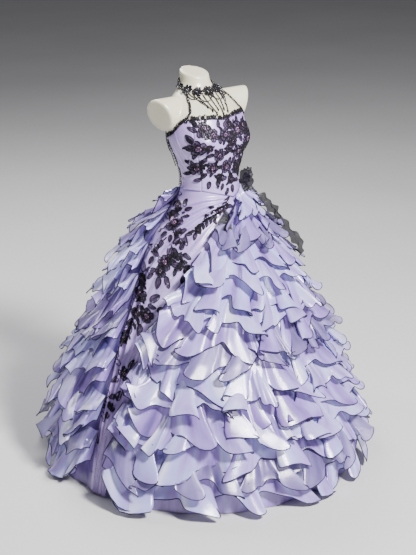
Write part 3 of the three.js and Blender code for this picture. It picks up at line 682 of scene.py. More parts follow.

# %% [markdown]
# ## The flounces
# Eight tiers of organza hide the base, each of two layers: a flounce, and a shorter and mostly
# sheerer one on the same seam. Each is cut as long curved strips, so that its top lies
# flat along the seam and its hem is far longer and breaks into flutes. The hem's line is what
# one sees: it swings out and back and doubles over itself like a river's meander. A meander is a
# curve whose heading swings as a sine, so each row of the flounce is drawn that way, straight at
# the seam and swinging further towards the hem. Every flute has its own width, height, swing,
# drop and lean from a given list, and the list runs on round the hidden sides.

# %% Flounce table
TIERS = [  # top, depth, flutes, how far the hem stands out, sway of the seam
    (.004, .138, 13, .047, .004), (.080, .168, 18, .058, .012), (.184, .180, 20, .062, .014),
    (.298, .188, 22, .066, .016), (.416, .192, 24, .069, .017), (.538, .194, 26, .071, .016),
    (.662, .194, 28, .073, .013), (.788, .207, 30, .075, .006)]
OVERLAYS = [  # a shorter layer on the same seam
    (.003, .082, 15, .056, .003), (.078, .104, 20, .070, .012), (.182, .112, 22, .076, .014),
    (.296, .118, 24, .079, .016), (.414, .120, 26, .081, .017), (.536, .120, 28, .083, .016),
    (.660, .120, 30, .084, .013), (.786, .122, 31, .084, .006)]
FLUTES = [  # width, rise, swing, drop, lean and curl of each flute
    (1.30, 1.00, 1.55, 1.20, 0.60, 1.0), (0.66, 0.62, 1.20, 0.30, -.60, 0.5),
    (0.95, 0.96, 2.25, 0.85, 0.50, 0.9), (1.55, 1.00, 1.35, 1.35, -.45, 0.3),
    (0.60, 0.55, 1.70, -.20, 0.40, 0.8), (0.90, 0.86, 1.45, 1.10, -.80, 0.6),
    (1.20, 0.98, 2.10, 0.55, 0.35, 1.0), (0.76, 0.66, 1.15, 1.30, 0.60, 0.4),
    (1.00, 0.97, 2.30, 0.40, -.45, 0.9), (0.62, 0.58, 1.25, 0.90, 0.20, 0.6),
    (1.60, 1.00, 1.50, 1.40, 0.70, 0.4), (0.88, 0.80, 2.15, -.10, -.60, 0.9),
    (1.20, 0.94, 1.30, 1.15, 0.45, 0.6), (0.72, 0.64, 1.90, 0.70, -.30, 0.8),
    (1.42, 0.97, 1.45, 1.30, 0.85, 0.5), (0.84, 0.74, 1.20, 0.20, -.60, 0.7),
    (1.02, 0.95, 2.20, 0.85, 0.25, 0.9)]
PLACES = np.array([0, .13, .26, .45, .72, 1])
UNDER = (np.array([.0012, .0026, .0040, .0060, .0100, .0160]),
         np.array([0, .05, .12, .26, .62, 1]))
OVER = (np.array([.0040, .0080, .0120, .0180, .0260, .0320]),
        np.array([0, .08, .18, .40, .74, 1]))
STEPS = 30  # columns in one flute
OVERLAP = 0.014  # how far a tier's ends lie over the front panel
SWING_DOWN = 0.052  # how much lower the hem hangs where it swings out
ROWS = np.r_[0, .05, .11, .18, .25, .32, .39, .46, .53, .60, .66, .72, .77, .82, .865, .90, .935,
             .965, .985, 1]


def meander(widths, swing, fine):
    """A row's run along the seam, 0 to 1, and its swing out, 0 to 1, in STEPS steps a flute."""
    count = len(widths)
    phase = np.arange(count * STEPS) / STEPS
    heading = swing * fine * np.sin(2 * np.pi * (phase + 0.5 / STEPS))
    run, out = np.cos(heading).reshape(count, STEPS), np.sin(heading).reshape(count, STEPS)
    run *= (widths / run.sum(1))[:, None]
    out -= out.mean(1, keepdims=True)
    x = np.r_[0, np.cumsum(run)]
    rise = np.cumsum(out, 1)
    rise = rise / np.maximum(rise.max(1, keepdims=True), 1e-6)
    return x, np.clip(np.r_[0, rise.ravel()], 0, 1)


# %% Flounces
def make_flounce(number, top, depth, waves, stand, sway, finish, over=False):
    troughs, crests = OVER if over else UNDER
    order = (np.arange(waves) * (1 if (number + over) % 2 else 2) + 5 * number + 8 * over) \
        % len(FLUTES)
    flute = np.array([FLUTES[k] for k in order])
    widths = flute[:, 0] / flute[:, 0].sum()
    centres = (np.arange(waves) + 0.5) * STEPS
    columns = np.arange(waves * STEPS + 1)
    rise, swing, drop, tilt, curl = (np.interp(columns, centres, flute[:, k])
                                     for k in range(1, 6))
    swing_steps = (swing[1:] + swing[:-1]) / 2
    lowest, small = number == len(TIERS) and not over, number < 3
    phase = 2 * np.pi * columns / STEPS
    grid = []
    for place in ROWS:
        fine = 0.30 + 0.70 * ease(place, 0.12, 0.92)
        x, out = meander(widths, swing_steps, fine)
        lag = np.interp(columns - 0.05 * STEPS, columns, out)
        x = np.clip(x + tilt * out * place ** 1.4 / waves, 0, 1)
        near = np.minimum(x, 1 - x)
        ends = ease(near, 0, 0.040 + 0.02 * small)
        length = depth * (0.45 + 0.55 * ends) * (1 + 0.05 * np.sin(5 * x * waves / 6 + number))
        swingdown = SWING_DOWN * (0.8 if small else 1) * drop * place ** 1.5 \
            * (0.85 if over else 1)
        middle = 0.93 if lowest else 0.5
        ripple = curl * place ** 4 * ends
        gather = 3 * phase + 1.9 * np.sin(0.37 * phase + number) + 2.0 * over
        down = top + sway * np.sin(8 * np.pi * x + 1.3 * (number - 1)) * (1 - 0.5 * place) \
            + length * place + swingdown * (lag - middle) * ends \
            + 0.0085 * ripple * np.sin(gather + 0.8)
        down = np.clip(down, 0.004, 0.9985)
        trough = np.interp(place, PLACES, troughs)
        crest = np.interp(place, PLACES, crests)
        pleat = 0.0030 * (1 - 0.55 * place) * ease(place, 0, .10) * np.sin(gather)
        ridge = (1 - np.abs(np.sin(phase + 0.9 + 1.7 * curl))) ** 2
        pleat = pleat + 0.0085 * curl * rise * place ** 0.9 * ridge
        off = trough + (stand - troughs[-1]) * crest * rise * (0.08 + 0.92 * out) + pleat
        off = off + 0.011 * (1 - ends) + 0.0062 * ripple * (1 + np.sin(gather - 1.0))
        radius = 0.11 + 0.50 * ease(down, -0.35, 1.05)
        lap = np.degrees(OVERLAP / radius)
        start, end = panel_edge(2, down) - lap, panel_edge(1, down) + 360 + lap
        grid.append(on_skirt(mix(start, end, x), down, off))
    points = np.array(grid)
    name = f"organza_{'overlay' if over else 'flounce'}_{number}"
    piece, width, length = cloth(name, points)
    settle(piece, finish, [] if over else [f"flounce_{number}"])
    edge = np.concatenate([points[:-1, 0], points[-1], points[::-1, -1][1:]])
    hem = cords(f"{name}_hem", [edge], HEM_RADIUS, 0)
    settle(hem, hem_thread)
    return len(piece.data.polygons)


unders = [organza_lilac, organza_light, organza_light, organza_lilac,
          organza_light, organza_lilac, organza_light, organza_light]
overs = [organza_sheer, organza_grey, organza_sheer, organza_sheer,
         organza_grey, organza_sheer, organza_sheer, organza_grey]
faces = [make_flounce(i + 1, *TIERS[i], unders[i]) for i in range(8)]
faces += [make_flounce(i + 1, *OVERLAYS[i], overs[i], True) for i in range(8)]
print("flounce faces", faces, sum(faces))

# %% [markdown]
# ## Laying lace on cloth
# Lace is drawn flat first, as it is sewn, then laid on the finished cloth. A ray from the side
# that the lace is looked at finds the satin, folds and all, and the lace's point is set just
# outside it. Cords that would fall past the cloth's edge are cut there.

# %% Lay points on cloth
def tree_of(pieces):
    """A search tree over finished pieces."""
    points, faces = [], []
    for piece in pieces:
        first = len(points)
        points += [piece.matrix_world @ v.co for v in piece.data.vertices]
        faces += [[first + k for k in p.vertices] for p in piece.data.polygons]
    return BVHTree.FromPolygons(points, faces)


def laid(tree, azimuth, places, out):
    """Places (across, height) seen from an azimuth, set outside the cloth; None where it ends."""
    towards = view_back(azimuth)
    right = Vector((math.cos(azimuth), math.sin(azimuth), 0))
    found = []
    for across, height in places:
        start = right * across + Vector((0, 0, height)) + towards * 1.5
        hit, normal, _, _ = tree.ray_cast(start, -towards)
        if hit is not None and normal.dot(towards) < 0:
            normal = -normal
        found.append(None if hit is None else np.array(hit + normal * out))
    return found


def whole_parts(line):
    """A laid line in the parts that landed on cloth, without jumps."""
    parts, now = [], []
    for point in line:
        if point is None or (now and np.linalg.norm(point - now[-1]) > 0.02):
            parts.append(now)
            now = []
        if point is not None:
            now.append(point)
    parts.append(now)
    return [p for p in parts if len(p) > 1]


# %% Motifs, drawn flat
def petal(x, z, turn, near, far, wide, points=14):
    """A petal's outline, from near to far from its middle, with a soft notch at the end."""
    t = np.linspace(0, 2 * np.pi, points, endpoint=False)
    along = mix(near, far, 0.5 - 0.5 * np.cos(t)) - 0.10 * (far - near) * np.exp(
        -((t - np.pi) / 0.32) ** 2)
    across = wide * np.sin(t) * (0.72 + 0.28 * (0.5 - 0.5 * np.cos(t)))
    return turned(x, z, turn, along, across)


def leaf(x, z, turn, long, wide):
    """A leaf's outline and its vein."""
    t = np.linspace(0, 2 * np.pi, 14, endpoint=False)
    share = 0.5 - 0.5 * np.cos(t)
    across = 2.0 * wide * np.sign(np.sin(t)) * share ** 0.55 * (1 - share) ** 0.8
    across *= 1 + 0.10 * np.cos(6 * t)
    c, s = math.cos(turn), math.sin(turn)
    vein = [(x + c * u, z + s * u) for u in (0, long * 0.45, long * 0.85)]
    return turned(x, z, turn, long * share, across), vein


def rose(x, z, size, turn):
    """Outlines of an open rose, outer petals first, and its spiral heart."""
    outer = [petal(x, z, turn + k * 2 * math.pi / 5 + draw.uniform(-.12, .12), size * 0.20,
                   size * draw.uniform(0.90, 1.10), size * draw.uniform(0.42, 0.50), 16)
             for k in range(5)]
    inner = [petal(x, z, turn + 0.6 + k * 2 * math.pi / 4 + draw.uniform(-.15, .15), size * 0.08,
                   size * draw.uniform(0.50, 0.60), size * 0.24, 12) for k in range(4)]
    t = np.linspace(0, 3.4 * np.pi, 22)
    grow = size * 0.24 * (t / t[-1]) ** 0.8
    heart = [(x + r * math.cos(k + turn), z + r * math.sin(k + turn)) for k, r in zip(t, grow)]
    return outer, inner, heart


# %% Lace builder
class Lace:
    """Cords, fills and hearts of one lace, all laid on the same cloth."""

    def __init__(self, pieces, azimuth):
        self.tree, self.azimuth = tree_of(pieces), azimuth
        self.heavy, self.fine, self.fills, self.hearts = [], [], [], []

    def cord(self, places, out=0.0017, fine=False, closed=False):
        line = list(places) + ([places[0]] if closed else [])
        parts = whole_parts(laid(self.tree, self.azimuth, line, out))
        (self.fine if fine else self.heavy).extend(parts)

    def fill(self, outline, out=0.0009, heart=False):
        middle = np.mean(outline, axis=0)
        inner = [mix(middle, np.array(p), 0.5) for p in outline]
        laid_points = laid(self.tree, self.azimuth, [*outline, *inner, middle], out)
        if all(p is not None for p in laid_points):
            if np.ptp(np.array(laid_points), axis=0).max() < 0.09:
                (self.hearts if heart else self.fills).append(laid_points)

    def rose(self, x, z, size, turn=0.0):
        outer, inner, heart = rose(x, z, size, turn)
        for outline in outer:
            self.fill(outline, 0.0010)
            self.cord(outline, 0.0018, closed=True)
            middle = np.mean(outline, axis=0)
            self.cord([mix(np.array([x, z]), middle, k) for k in (.55, .85, 1.15, 1.35)],
                      0.0016, True)
        for outline in inner:
            self.fill(outline, 0.0016)
            self.cord(outline, 0.0024, closed=True)
        ring = [(x + size * .28 * math.cos(k), z + size * .28 * math.sin(k))
                for k in np.linspace(0, 2 * math.pi, 9)[:-1]]
        self.fill(ring, 0.0032, heart=True)
        self.cord(heart, 0.0034, fine=True)

    def leaf(self, x, z, turn, long, wide=None):
        outline, vein = leaf(x, z, turn, long, wide or long * 0.27)
        self.fill(outline, 0.0009)
        self.cord(outline, 0.0016, closed=True)
        self.cord(vein, 0.0016, fine=True)

    def sprig(self, x, z, turn, long, leaves):
        """A short stem with pairs of small leaves and one at its tip."""
        bend = draw.uniform(-0.5, 0.5)
        stem = [(x + long * t * math.cos(turn + bend * t), z + long * t * math.sin(turn + bend * t))
                for t in np.linspace(0, 1, 7)]
        self.cord(stem)
        for k in range(leaves):
            t = (k + 1) / (leaves + 0.4)
            px, pz = stem[min(6, int(t * 6))]
            for side in (1, -1):
                self.leaf(px, pz, turn + bend * t + side * draw.uniform(.7, 1.1),
                          long * draw.uniform(.34, .46))
        self.leaf(*stem[-1], turn + bend, long * 0.42)

    def pieces(self, name, heavy=0.0015, fine=0.0011):
        """Makes the lace's four pieces and gives back the heavy cord."""
        cord = cords(f"{name}_cord", self.heavy, heavy, 0)
        vein = cords(f"{name}_vein", self.fine, fine, 0)
        settle(cord, black_lace)
        settle(vein, black_lace)
        settle(patches(f"{name}_net", self.fills, 2), petal_net)
        settle(patches(f"{name}_heart", self.hearts, 2), pink_centre)
        return cord


# %% [markdown]
# ## The bodice's lace
# Corded roses crowd the bust and thin out towards the point, each with three small leaves.
# Between them are more leaves and short sprigs. The cords are thick and stand proud, and the
# petals are filled with dark net with a pinkish heart, so the lace reads nearly black.

# %% Bodice lace
BODICE_VIEW = math.radians(-12)
BODICE_ROSES = [  # across and height as seen from a little to the right, and size
    (.134, 1.292, .022), (.128, 1.222, .024), (.112, 1.176, .022), (.094, 1.138, .018),
    (.046, 1.262, .018), (.040, 1.322, .015), (-.010, 1.134, .013), (.070, 1.160, .016),
    (-.098, 1.250, .031), (-.069, 1.322, .023), (-.041, 1.296, .024), (.014, 1.290, .025),
    (.072, 1.300, .031), (-.013, 1.218, .026), (.078, 1.222, .029), (-.089, 1.168, .025),
    (-.035, 1.170, .024), (.022, 1.169, .027), (.049, 1.112, .019), (-.062, 1.250, .015),
    (.030, 1.243, .018), (.118, 1.262, .027), (.108, 1.310, .020)]
BODICE_LEAVES = [  # across, height, way it points in degrees, length
    (-.096, 1.310, 150, .028), (-.094, 1.328, 125, .024), (-.112, 1.256, 200, .024),
    (-.112, 1.276, 130, .026), (-.094, 1.290, 70, .028), (-.098, 1.184, 150, .026),
    (-.078, 1.338, 95, .022), (-.090, 1.334, 150, .024), (.012, 1.318, 35, .036),
    (-.056, 1.150, 230, .026), (-.044, 1.118, 260, .026), (-.070, 1.128, 200, .024),
    (-.014, 1.116, 275, .024), (.010, 1.104, 250, .022), (.034, 1.084, 245, .024),
    (.054, 1.092, 280, .028), (.072, 1.110, 330, .024), (.026, 1.128, 200, .026),
    (-.012, 1.262, 100, .028), (.046, 1.262, 60, .030), (.050, 1.200, 300, .030),
    (.060, 1.172, 20, .030), (.056, 1.150, 320, .026), (-.040, 1.226, 200, .026),
    (-.064, 1.212, 240, .026), (-.084, 1.290, 60, .026), (-.012, 1.318, 80, .024),
    (.086, 1.180, 300, .028), (.100, 1.232, 300, .026), (.030, 1.074, 240, .020)]
bodice_lace = Lace(bodice.values(), BODICE_VIEW)
for x, z, turn, long in BODICE_LEAVES:
    bodice_lace.leaf(x, z, math.radians(turn), long * 1.12, long * 0.36)
for k, (x, z, size) in enumerate(BODICE_ROSES):
    for j in range(3):
        turn = 2.1 * j + 0.8 * k + draw.uniform(-.4, .4)
        bodice_lace.leaf(x + size * .8 * math.cos(turn), z + size * .8 * math.sin(turn), turn,
                         size * draw.uniform(.6, .85), size * .26)
    bodice_lace.rose(x, z, size, 0.7 * k)
for x, z, turn, long, leaves in [
        (-.052, 1.196, 4.4, .030, 2), (.006, 1.150, 4.7, .034, 2), (.036, 1.140, 5.0, .030, 2),
        (.090, 1.256, 5.3, .030, 2), (.044, 1.322, .6, .024, 1)]:
    bodice_lace.sprig(x, z, turn, long, leaves)
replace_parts(bodice_lace.pieces("bodice_lace"), "bodice_lace")
print("bodice lace cords", len(bodice_lace.heavy), len(bodice_lace.fine))

# %% [markdown]
# ## The panel's sprays
# Down the satin panel run separate sprays of the same lace: a rose or two on a curved stem with
# leaves on both sides. They are placed as seen from the gown's right front, which is where the
# panel faces. Tiny beads are scattered over the satin between them.

# %% Panel sprays
panel_lace = Lace([front_panel], VIEW_AZIMUTH)
SPRAYS = [  # roses (across, height, size), leaves (..., way, length) and stems of each spray
    ([(-.120, .970, .034), (-.106, 1.020, .018)],
     [(-.092, .948, -20, .038), (-.090, .936, -60, .038), (-.104, .934, -100, .034),
      (-.078, 1.012, 20, .026), (-.082, 1.026, 60, .024), (-.090, .998, -5, .026),
      (-.140, 1.004, 120, .034), (-.152, .952, 200, .032), (-.146, .930, 230, .030),
      (-.160, .906, 240, .028), (-.130, .930, 260, .026), (-.124, 1.012, 90, .026),
      (-.130, 1.040, 60, .026), (-.136, 1.060, 110, .024), (-.160, .976, 170, .030),
      (-.168, .930, 150, .028), (-.178, .892, 250, .030), (-.190, .874, 200, .026),
      (-.196, .846, 240, .028), (-.112, 1.050, 30, .022)],
     [(-.150, 1.010), (-.130, .980), (-.104, .940), (-.110, .900)]),
    ([(.050, 1.012, .015), (-.030, .950, .012)],
     [(.066, 1.032, 40, .024), (.032, 1.016, 150, .024), (.018, .996, 200, .024),
      (.006, .984, 110, .020), (-.008, .968, 180, .022), (-.020, .962, 240, .020),
      (-.042, .946, 190, .020), (-.036, .940, 250, .022), (.028, .990, 290, .022),
      (.076, 1.020, -20, .022)],
     [(.080, 1.030), (.046, 1.004), (.006, .976), (-.040, .944)]),
    ([(-.152, .836, .028), (-.168, .806, .020), (-.070, .820, .014)],
     [(-.140, .862, 70, .034), (-.176, .850, 140, .034), (-.186, .812, 205, .036),
      (-.170, .788, 255, .036), (-.148, .794, 290, .034), (-.126, .834, 0, .034),
      (-.104, .866, 130, .026), (-.094, .884, 60, .028), (-.082, .872, -30, .028),
      (-.092, .848, -90, .026), (-.086, .830, 200, .028), (-.076, .806, 240, .028),
      (-.056, .812, -50, .024), (-.052, .836, 40, .026), (-.110, .820, 250, .020)],
     [(-.152, .836), (-.118, .862), (-.088, .862), (-.070, .820)]),
    ([(-.242, .716, .024), (-.238, .762, .016), (-.218, .654, .025), (-.262, .652, .016)],
     [(-.236, .786, 80, .032), (-.218, .776, 40, .026), (-.258, .760, 150, .028),
      (-.206, .704, 35, .040), (-.264, .724, 170, .030), (-.212, .690, -10, .026),
      (-.184, .640, -40, .034), (-.206, .622, -80, .032), (-.238, .622, 250, .034),
      (-.268, .628, 220, .032), (-.276, .660, 170, .030), (-.286, .612, 215, .028),
      (-.180, .676, 30, .026), (-.258, .688, 130, .026)],
     [(-.236, .790), (-.242, .716), (-.236, .654), (-.286, .600)]),
    ([(-.306, .560, .016), (-.300, .452, .022), (-.340, .500, .015)],
     [(-.290, .580, 60, .028), (-.322, .574, 170, .028), (-.330, .546, 210, .030),
      (-.352, .520, 160, .028), (-.360, .492, 220, .030), (-.284, .470, 60, .034),
      (-.318, .470, 140, .030), (-.278, .440, -20, .030), (-.300, .420, 265, .034),
      (-.324, .430, 215, .030), (-.316, .392, 250, .034), (-.334, .374, 220, .028),
      (-.376, .468, 240, .028), (-.370, .440, 280, .026)],
     [(-.290, .590), (-.322, .540), (-.360, .480), (-.384, .420)]),
    ([(-.392, .330, .018), (-.426, .240, .017), (-.352, .330, .014)],
     [(-.376, .352, 60, .028), (-.410, .346, 150, .028), (-.412, .312, 220, .028),
      (-.384, .300, 280, .028), (-.410, .268, 120, .026), (-.444, .250, 170, .026),
      (-.440, .218, 230, .028), (-.412, .214, 290, .026), (-.336, .310, -40, .026),
      (-.362, .306, 240, .024)],
     [(-.380, .360), (-.402, .300), (-.424, .250), (-.440, .190)]),
    ([(-.448, .130, .015), (-.462, .070, .012)],
     [(-.436, .150, 60, .024), (-.462, .140, 160, .024), (-.454, .104, 240, .026),
      (-.440, .094, 300, .022), (-.470, .060, 220, .020)],
     [(-.440, .170), (-.450, .110), (-.466, .050)])]
for roses, leaves, stem in SPRAYS:
    knots = np.array(stem)
    t = np.linspace(0, len(knots) - 1, 26)
    line = np.stack([np.interp(t, range(len(knots)), knots[:, k]) for k in (0, 1)], -1)
    line[:, 0] += 0.004 * np.sin(2.2 * t + 1)
    panel_lace.cord(line)
    for k in range(1, 25, 3):
        way = math.atan2(*(line[k + 1] - line[k])[::-1])
        for side in (1, -1):
            panel_lace.leaf(*line[k], way + side * draw.uniform(.6, 1.0), draw.uniform(.016, .023),
                            draw.uniform(.005, .007))
    for x, z, turn, long in leaves:
        panel_lace.leaf(x, z, math.radians(turn), long * 1.15, long * 0.34)
    for x, z, size in roses:
        panel_lace.rose(x, z, size * 1.06, x * 40)
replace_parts(panel_lace.pieces("panel_lace"), "panel_lace_1", "panel_lace_2", "panel_lace_3")
PANEL_BEADS = 520
scatter = []
for _ in range(PANEL_BEADS):
    height = draw.uniform(0.06, 1.03)
    down = (WAIST - height) / (WAIST - HEM)
    left, right = (panel_edge(k, down) for k in (1, 2))
    point = on_skirt(mix(left, right, draw.uniform(.06, .94)), down, 0)
    across = point[0] * math.cos(VIEW_AZIMUTH) + point[1] * math.sin(VIEW_AZIMUTH)
    scatter += [p for p in laid(panel_lace.tree, VIEW_AZIMUTH, [(across, height)], .0007)
                if p is not None]
settle(beads("panel_beads", scatter, 0.0010), bead_black)
print("spray cords", len(panel_lace.heavy), "beads", len(scatter))

# %% [markdown]
# ## Lace trim and lacing
# A narrow lace of small uneven scallops finishes the top edge. At the back twelve straight ribbons
# cross the open back and stand for the lacing, with cord loops along both back edges.

# %% Trim along the top edge
edge_angles = np.linspace(-130, 130, 200)
trim_lines = [on_body(edge_angles, top_edge(edge_angles) + rise, np.full(200, out))
              for rise, out in ((-0.0030, 0.0046), (0.0004, 0.0050))]
trim_fills = []
angle, count = -130.0, 0
while angle < 127:
    wide = draw.uniform(3.0, 5.4)
    tall = draw.uniform(0.006, 0.015)
    t = np.linspace(0, np.pi, 9)
    a = angle + wide * (0.5 - 0.5 * np.cos(t))
    h = top_edge(a) - 0.001 + tall * np.sin(t)
    line = on_body(a, h, np.full(a.shape, 0.0046))
    trim_lines.append(line)
    if count % 2 == 0:
        trim_fills.append(line)
    centre = angle + wide / 2
    for k in range(5 if count % 3 == 0 else 0):
        turn = k * 2 * np.pi / 5 + angle
        ring = np.linspace(0, 2 * np.pi, 8)
        pa = centre + 1.7 * np.cos(turn) + 1.1 * np.cos(ring)
        ph = top_edge(centre) + 0.004 + 0.0040 * np.sin(turn) + 0.0026 * np.sin(ring)
        trim_lines.append(on_body(pa, ph, np.full(pa.shape, 0.0056)))
    angle, count = angle + wide * 0.98, count + 1
trim = settle(cords("bodice_top_lace_cord", trim_lines, 0.0013, 0), black_lace)
settle(patches("bodice_top_lace_net", trim_fills), black_lace)
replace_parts(trim, "bodice_top_lace")


def strip(name, middles, sides, finish, nodes=(), crumple=0.0):
    """A ribbon through middle points, from -side to +side, with a crumpled face."""
    middles, sides = np.asarray(middles, float), np.asarray(sides, float)
    across = np.linspace(-1, 1, 13)
    grid = middles[:, None] + sides[:, None] * across[None, :, None]
    along = np.linspace(0, 1, len(middles))
    normal = np.cross(np.gradient(middles, axis=0), sides)
    normal /= np.linalg.norm(normal, axis=1, keepdims=True)
    wave = crumple * (np.sin(along[:, None] * 46 + across * 2.4) * (0.6 + 0.4 * across)
                      + 0.6 * np.sin(along[:, None] * 83 - across * 4.1))
    grid = grid + normal[:, None] * wave[..., None]
    piece, width, length = cloth(name, grid)
    settle(piece, finish, nodes)


for k in range(6):
    high = 1.240 - 0.146 * k / 5
    for side in (1, -1):
        t = np.linspace(0, 1, 26)
        a = 180 + side * mix(-54, 54, t)
        h = high - 0.0292 * t
        out = 0.0062 + 0.0012 * side + 0.004 * np.sin(np.pi * t)
        middle = on_body(a, h, out)
        up = on_body(a, h + 0.0032, out) - middle
        strip(f"lacing_ribbon_{k + 1}{'a' if side > 0 else 'b'}", middle, up, black_ribbon,
              ["back_lacing"] if k == 0 and side > 0 else ())
loops = []
for side in (1, -1):
    for h in np.linspace(1.252, 1.078, 19):
        t = np.linspace(0, np.pi, 9)
        a = side * (130.5 + 5.0 * np.sin(t))
        loops.append(on_body(a, h + 0.0042 * np.cos(t), 0.0050 + 0.0100 * np.sin(t)))
        for k in (0, 1, 2):
            ring = np.linspace(0, 2 * np.pi, 9)
            pa = side * (117.5 + 4.2 * k + 2.2 * np.cos(ring))
            loops.append(on_body(pa, h + 0.0030 * (k - 1) + 0.0044 * np.sin(ring),
                                 np.full(ring.shape, 0.0046)))
settle(cords("lacing_loops", loops, 0.0014, 0), black_lace)

# %% [markdown]
# ## The choker, its strands and the straps
# The choker is a ring of small bead flowers on wires. Drops hang from it at the front on strands
# of uneven length, with swags between them. A double row of beads runs from each side down to the
# top edge, and three short strings hang at the wearer's right side.

# %% Choker
def choker_height(angle):
    return mix(1.431, 1.460, 0.5 - 0.5 * np.cos(np.radians(angle)))


ring_angle = np.linspace(-180, 180, 97)
wires = [on_body(ring_angle, choker_height(ring_angle) + rise, np.full(97, out))
         for rise, out in ((-.0045, .0018), (0, .0026), (.0045, .0018))]
flower_cords, flower_fills, centres = [], [], []
for k, at in enumerate(np.arange(-180, 180, 30.0)):
    size = 0.0145 if k % 2 == 0 else 0.0118
    for j in range(6):
        turn = j * 2 * np.pi / 6 + k
        ring = np.linspace(0, 2 * np.pi, 11)
        along = size * (0.28 + 0.42 * (1 - np.cos(ring)))
        across = size * 0.34 * np.sin(ring)
        u = along * np.cos(turn) - across * np.sin(turn)
        v = along * np.sin(turn) + across * np.cos(turn)
        spread = np.degrees(u / 0.062)
        line = on_body(at + spread, choker_height(at) + v, 0.0040 + 0.0022 * (1 - np.cos(ring)))
        flower_cords.append(line)
        flower_fills.append(line[:-1])
    centres.append(on_body(np.array(at), choker_height(at), np.array(0.0065)))
settle(cords("choker_flowers", flower_cords, 0.0015, 0), bead_black, ["choker"])
settle(patches("choker_petals", flower_fills), black_lace)
settle(cords("choker_wires", wires, 0.0007, 0), bead_black)
settle(beads("choker_centres", centres, 0.0032), bead_black)

# %% Strands and straps
strand_beads, drops, threads = [], [], []
for at, low in ((-56, 1.402), (-42, 1.386), (-30, 1.374), (-18, 1.364), (-6, 1.376), (6, 1.360),
                (18, 1.374), (30, 1.366), (43, 1.388), (56, 1.402)):
    h = np.linspace(float(choker_height(at)) - .006, low, 12)
    line = on_body(mix(at, at * 0.42, np.linspace(0, 1, 12)), h, np.full(12, 0.0040))
    threads.append(line)
    strand_beads += list(spaced(line, 0.0042))
    drops.append(line[-1] - [0, 0, 0.004])
for start, end, sag in ((-60, -20, .018), (-34, 6, .024), (-4, 34, .024), (22, 60, .018)):
    t = np.linspace(0, 1, 22)
    a = mix(start, end, t)
    line = on_body(a, choker_height(a) - .006 - sag * np.sin(np.pi * t), np.full(22, .0032))
    threads.append(line)
    strand_beads += list(spaced(line, 0.0042))
settle(cords("choker_threads", threads, 0.0010, 0), bead_black)
settle(beads("choker_strand_beads", strand_beads, 0.0025), bead_black)
settle(beads("choker_drops", drops, 0.0058, (0.75, 0.75, 1.8)), bead_black)
STRAP = np.array([(66, 1.432, .0030), (54, 1.420, .0034), (47, 1.398, .0034),
                  (49, 1.372, .0034), (56, 1.357, .0050), (59, 1.339, .0052)])
for side, name in ((1, "strap_left"), (-1, "strap_right")):
    _, (a, h, out) = in_steps(STRAP, 60)
    rows = [on_body(side * (a + shift), h, out) for shift in (-1.3, 1.3)]
    places = np.concatenate([spaced(row, 0.0032) for row in rows])
    settle(beads(f"{name}_beads", places, 0.0025), bead_black, [name])
    settle(cords(f"{name}_thread", rows, 0.0005, 0), bead_black)
dangles = [on_body(np.full(30, at), np.linspace(1.288, low, 30), np.linspace(.008, far, 30))
           for at, low, far in ((-127.0, 1.222, .016), (-120.0, 1.166, .014),
                                (-112.0, 1.240, .010))]
dangle_beads = np.concatenate([spaced(line, 0.0054) for line in dangles])
settle(beads("side_dangle_beads", dangle_beads, 0.0028), bead_black)
settle(cords("side_dangle_threads", dangles, 0.0006, 0), bead_black)

# %% [markdown]
# ## The black organza
# Three strips of sheer black organza: a tail that crumples down over the first flounces from the
# waist on the wearer's left, a loop that stands up there, and a small tuck beside the point.

# %% Black organza
TAIL = np.array([  # down, angle, half spread in degrees, out
    (.003, 74, 10, .0010), (.0095, 74, 10, .0030), (.014, 74, 10, .0060), (.045, 72, 11, .020),
    (.077, 71, 9, .044), (.113, 68, 12, .064), (.152, 66, 10, .080), (.182, 65, 8, .074),
    (.222, 62, 11, .074), (.264, 60, 9, .084), (.300, 58, 5, .080)])
_, (down, at, spread, out) = in_steps(TAIL, 90)
middle = on_skirt(at, down, out)
sides = on_skirt(at + spread, down, out + 0.020) - on_skirt(at, down, out)
strip("black_organza_tail", middle, sides, black_organza, ["organza_tail"],
      0.008)
RUFFLE = np.array([  # angle, height, out and half width of the loop that stands up at the waist
    (64, 1.020, .014, .010), (60, 1.045, .030, .018), (58, 1.080, .038, .022),
    (59, 1.115, .042, .018), (64, 1.138, .040, .012), (70, 1.118, .036, .016),
    (74, 1.080, .036, .022), (78, 1.045, .038, .022), (82, 1.010, .034, .014)])
t, (at, h, out, half) = in_steps(RUFFLE, 60)
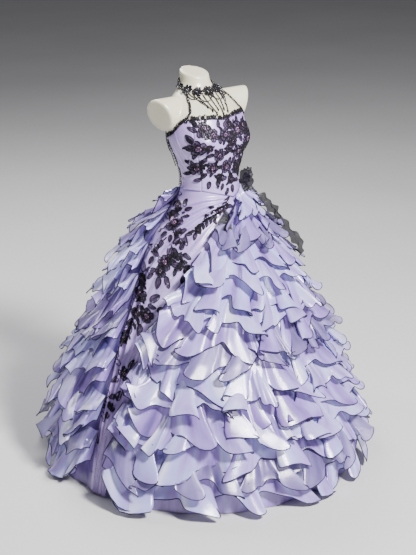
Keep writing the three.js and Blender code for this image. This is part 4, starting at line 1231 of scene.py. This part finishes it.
middle = on_body(at, h, out)
sides = on_body(at + 6 * np.sin(t * 2.1), h, out + half) - middle
strip("black_organza_ruffle", middle, sides, black_organza, [], 0.006)
TUCK = np.array([  # down, angle, half spread in degrees, out, beside the bodice's point
    (.060, -8, 2, .012), (.085, -13, 5, .022), (.112, -18, 7, .028), (.135, -22, 6, .026)])
_, (down, at, spread, out) = in_steps(TUCK, 40)
middle = on_skirt(at, down, out)
sides = on_skirt(at + spread, down + 0.008, out) - middle
strip("black_organza_tuck", middle, sides, black_organza, [], 0.002)

# %% [markdown]
# ## Floor and light
# A plain pale floor that runs out of the picture, a soft main light from the front and above, and
# two weaker ones from behind for the edges of the organza.

# %% Stage
bpy.ops.mesh.primitive_plane_add(size=60)
floor = bpy.context.object
floor.name = "floor"
floor.data.materials.append(finish_material(
    "floor_paper", [(0.3, (0.62, 0.61, 0.62)), (0.7, (0.66, 0.65, 0.66))],
    {"Roughness": 0.8}, ("noise", 90), 0.05, 0.001, 0.8))
floor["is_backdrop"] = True


def light(name, azimuth, elevation, distance, size, power, colour):
    bpy.ops.object.light_add(type="AREA")
    lamp = bpy.context.object
    lamp.name = name
    lamp.data.size, lamp.data.energy, lamp.data.color = size, power, colour
    direction = view_back(math.radians(azimuth), math.radians(elevation))
    lamp.location = Vector((0, 0, 0.8)) + direction * distance
    lamp.rotation_mode = "QUATERNION"
    lamp.rotation_quaternion = direction.to_track_quat("Z", "Y")


light("key", 0, 43, 5.6, 0.95, 900, (1.0, 0.98, 0.98))
light("fill", -150, 32, 4.6, 1.4, 100, (0.93, 0.95, 1.0))
light("rim", 160, 50, 4.4, 1.8, 130, (1.0, 1.0, 1.0))
world = bpy.data.worlds.new("studio")
world.use_nodes = True
world.node_tree.nodes["Background"].inputs["Color"].default_value = (0.80, 0.81, 0.86, 1)
world.node_tree.nodes["Background"].inputs["Strength"].default_value = 0.12
bpy.context.scene.world = world

# %% Sizes and finish
low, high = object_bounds()
print("visual box", [round(v, 3) for v in (*low, *high)])
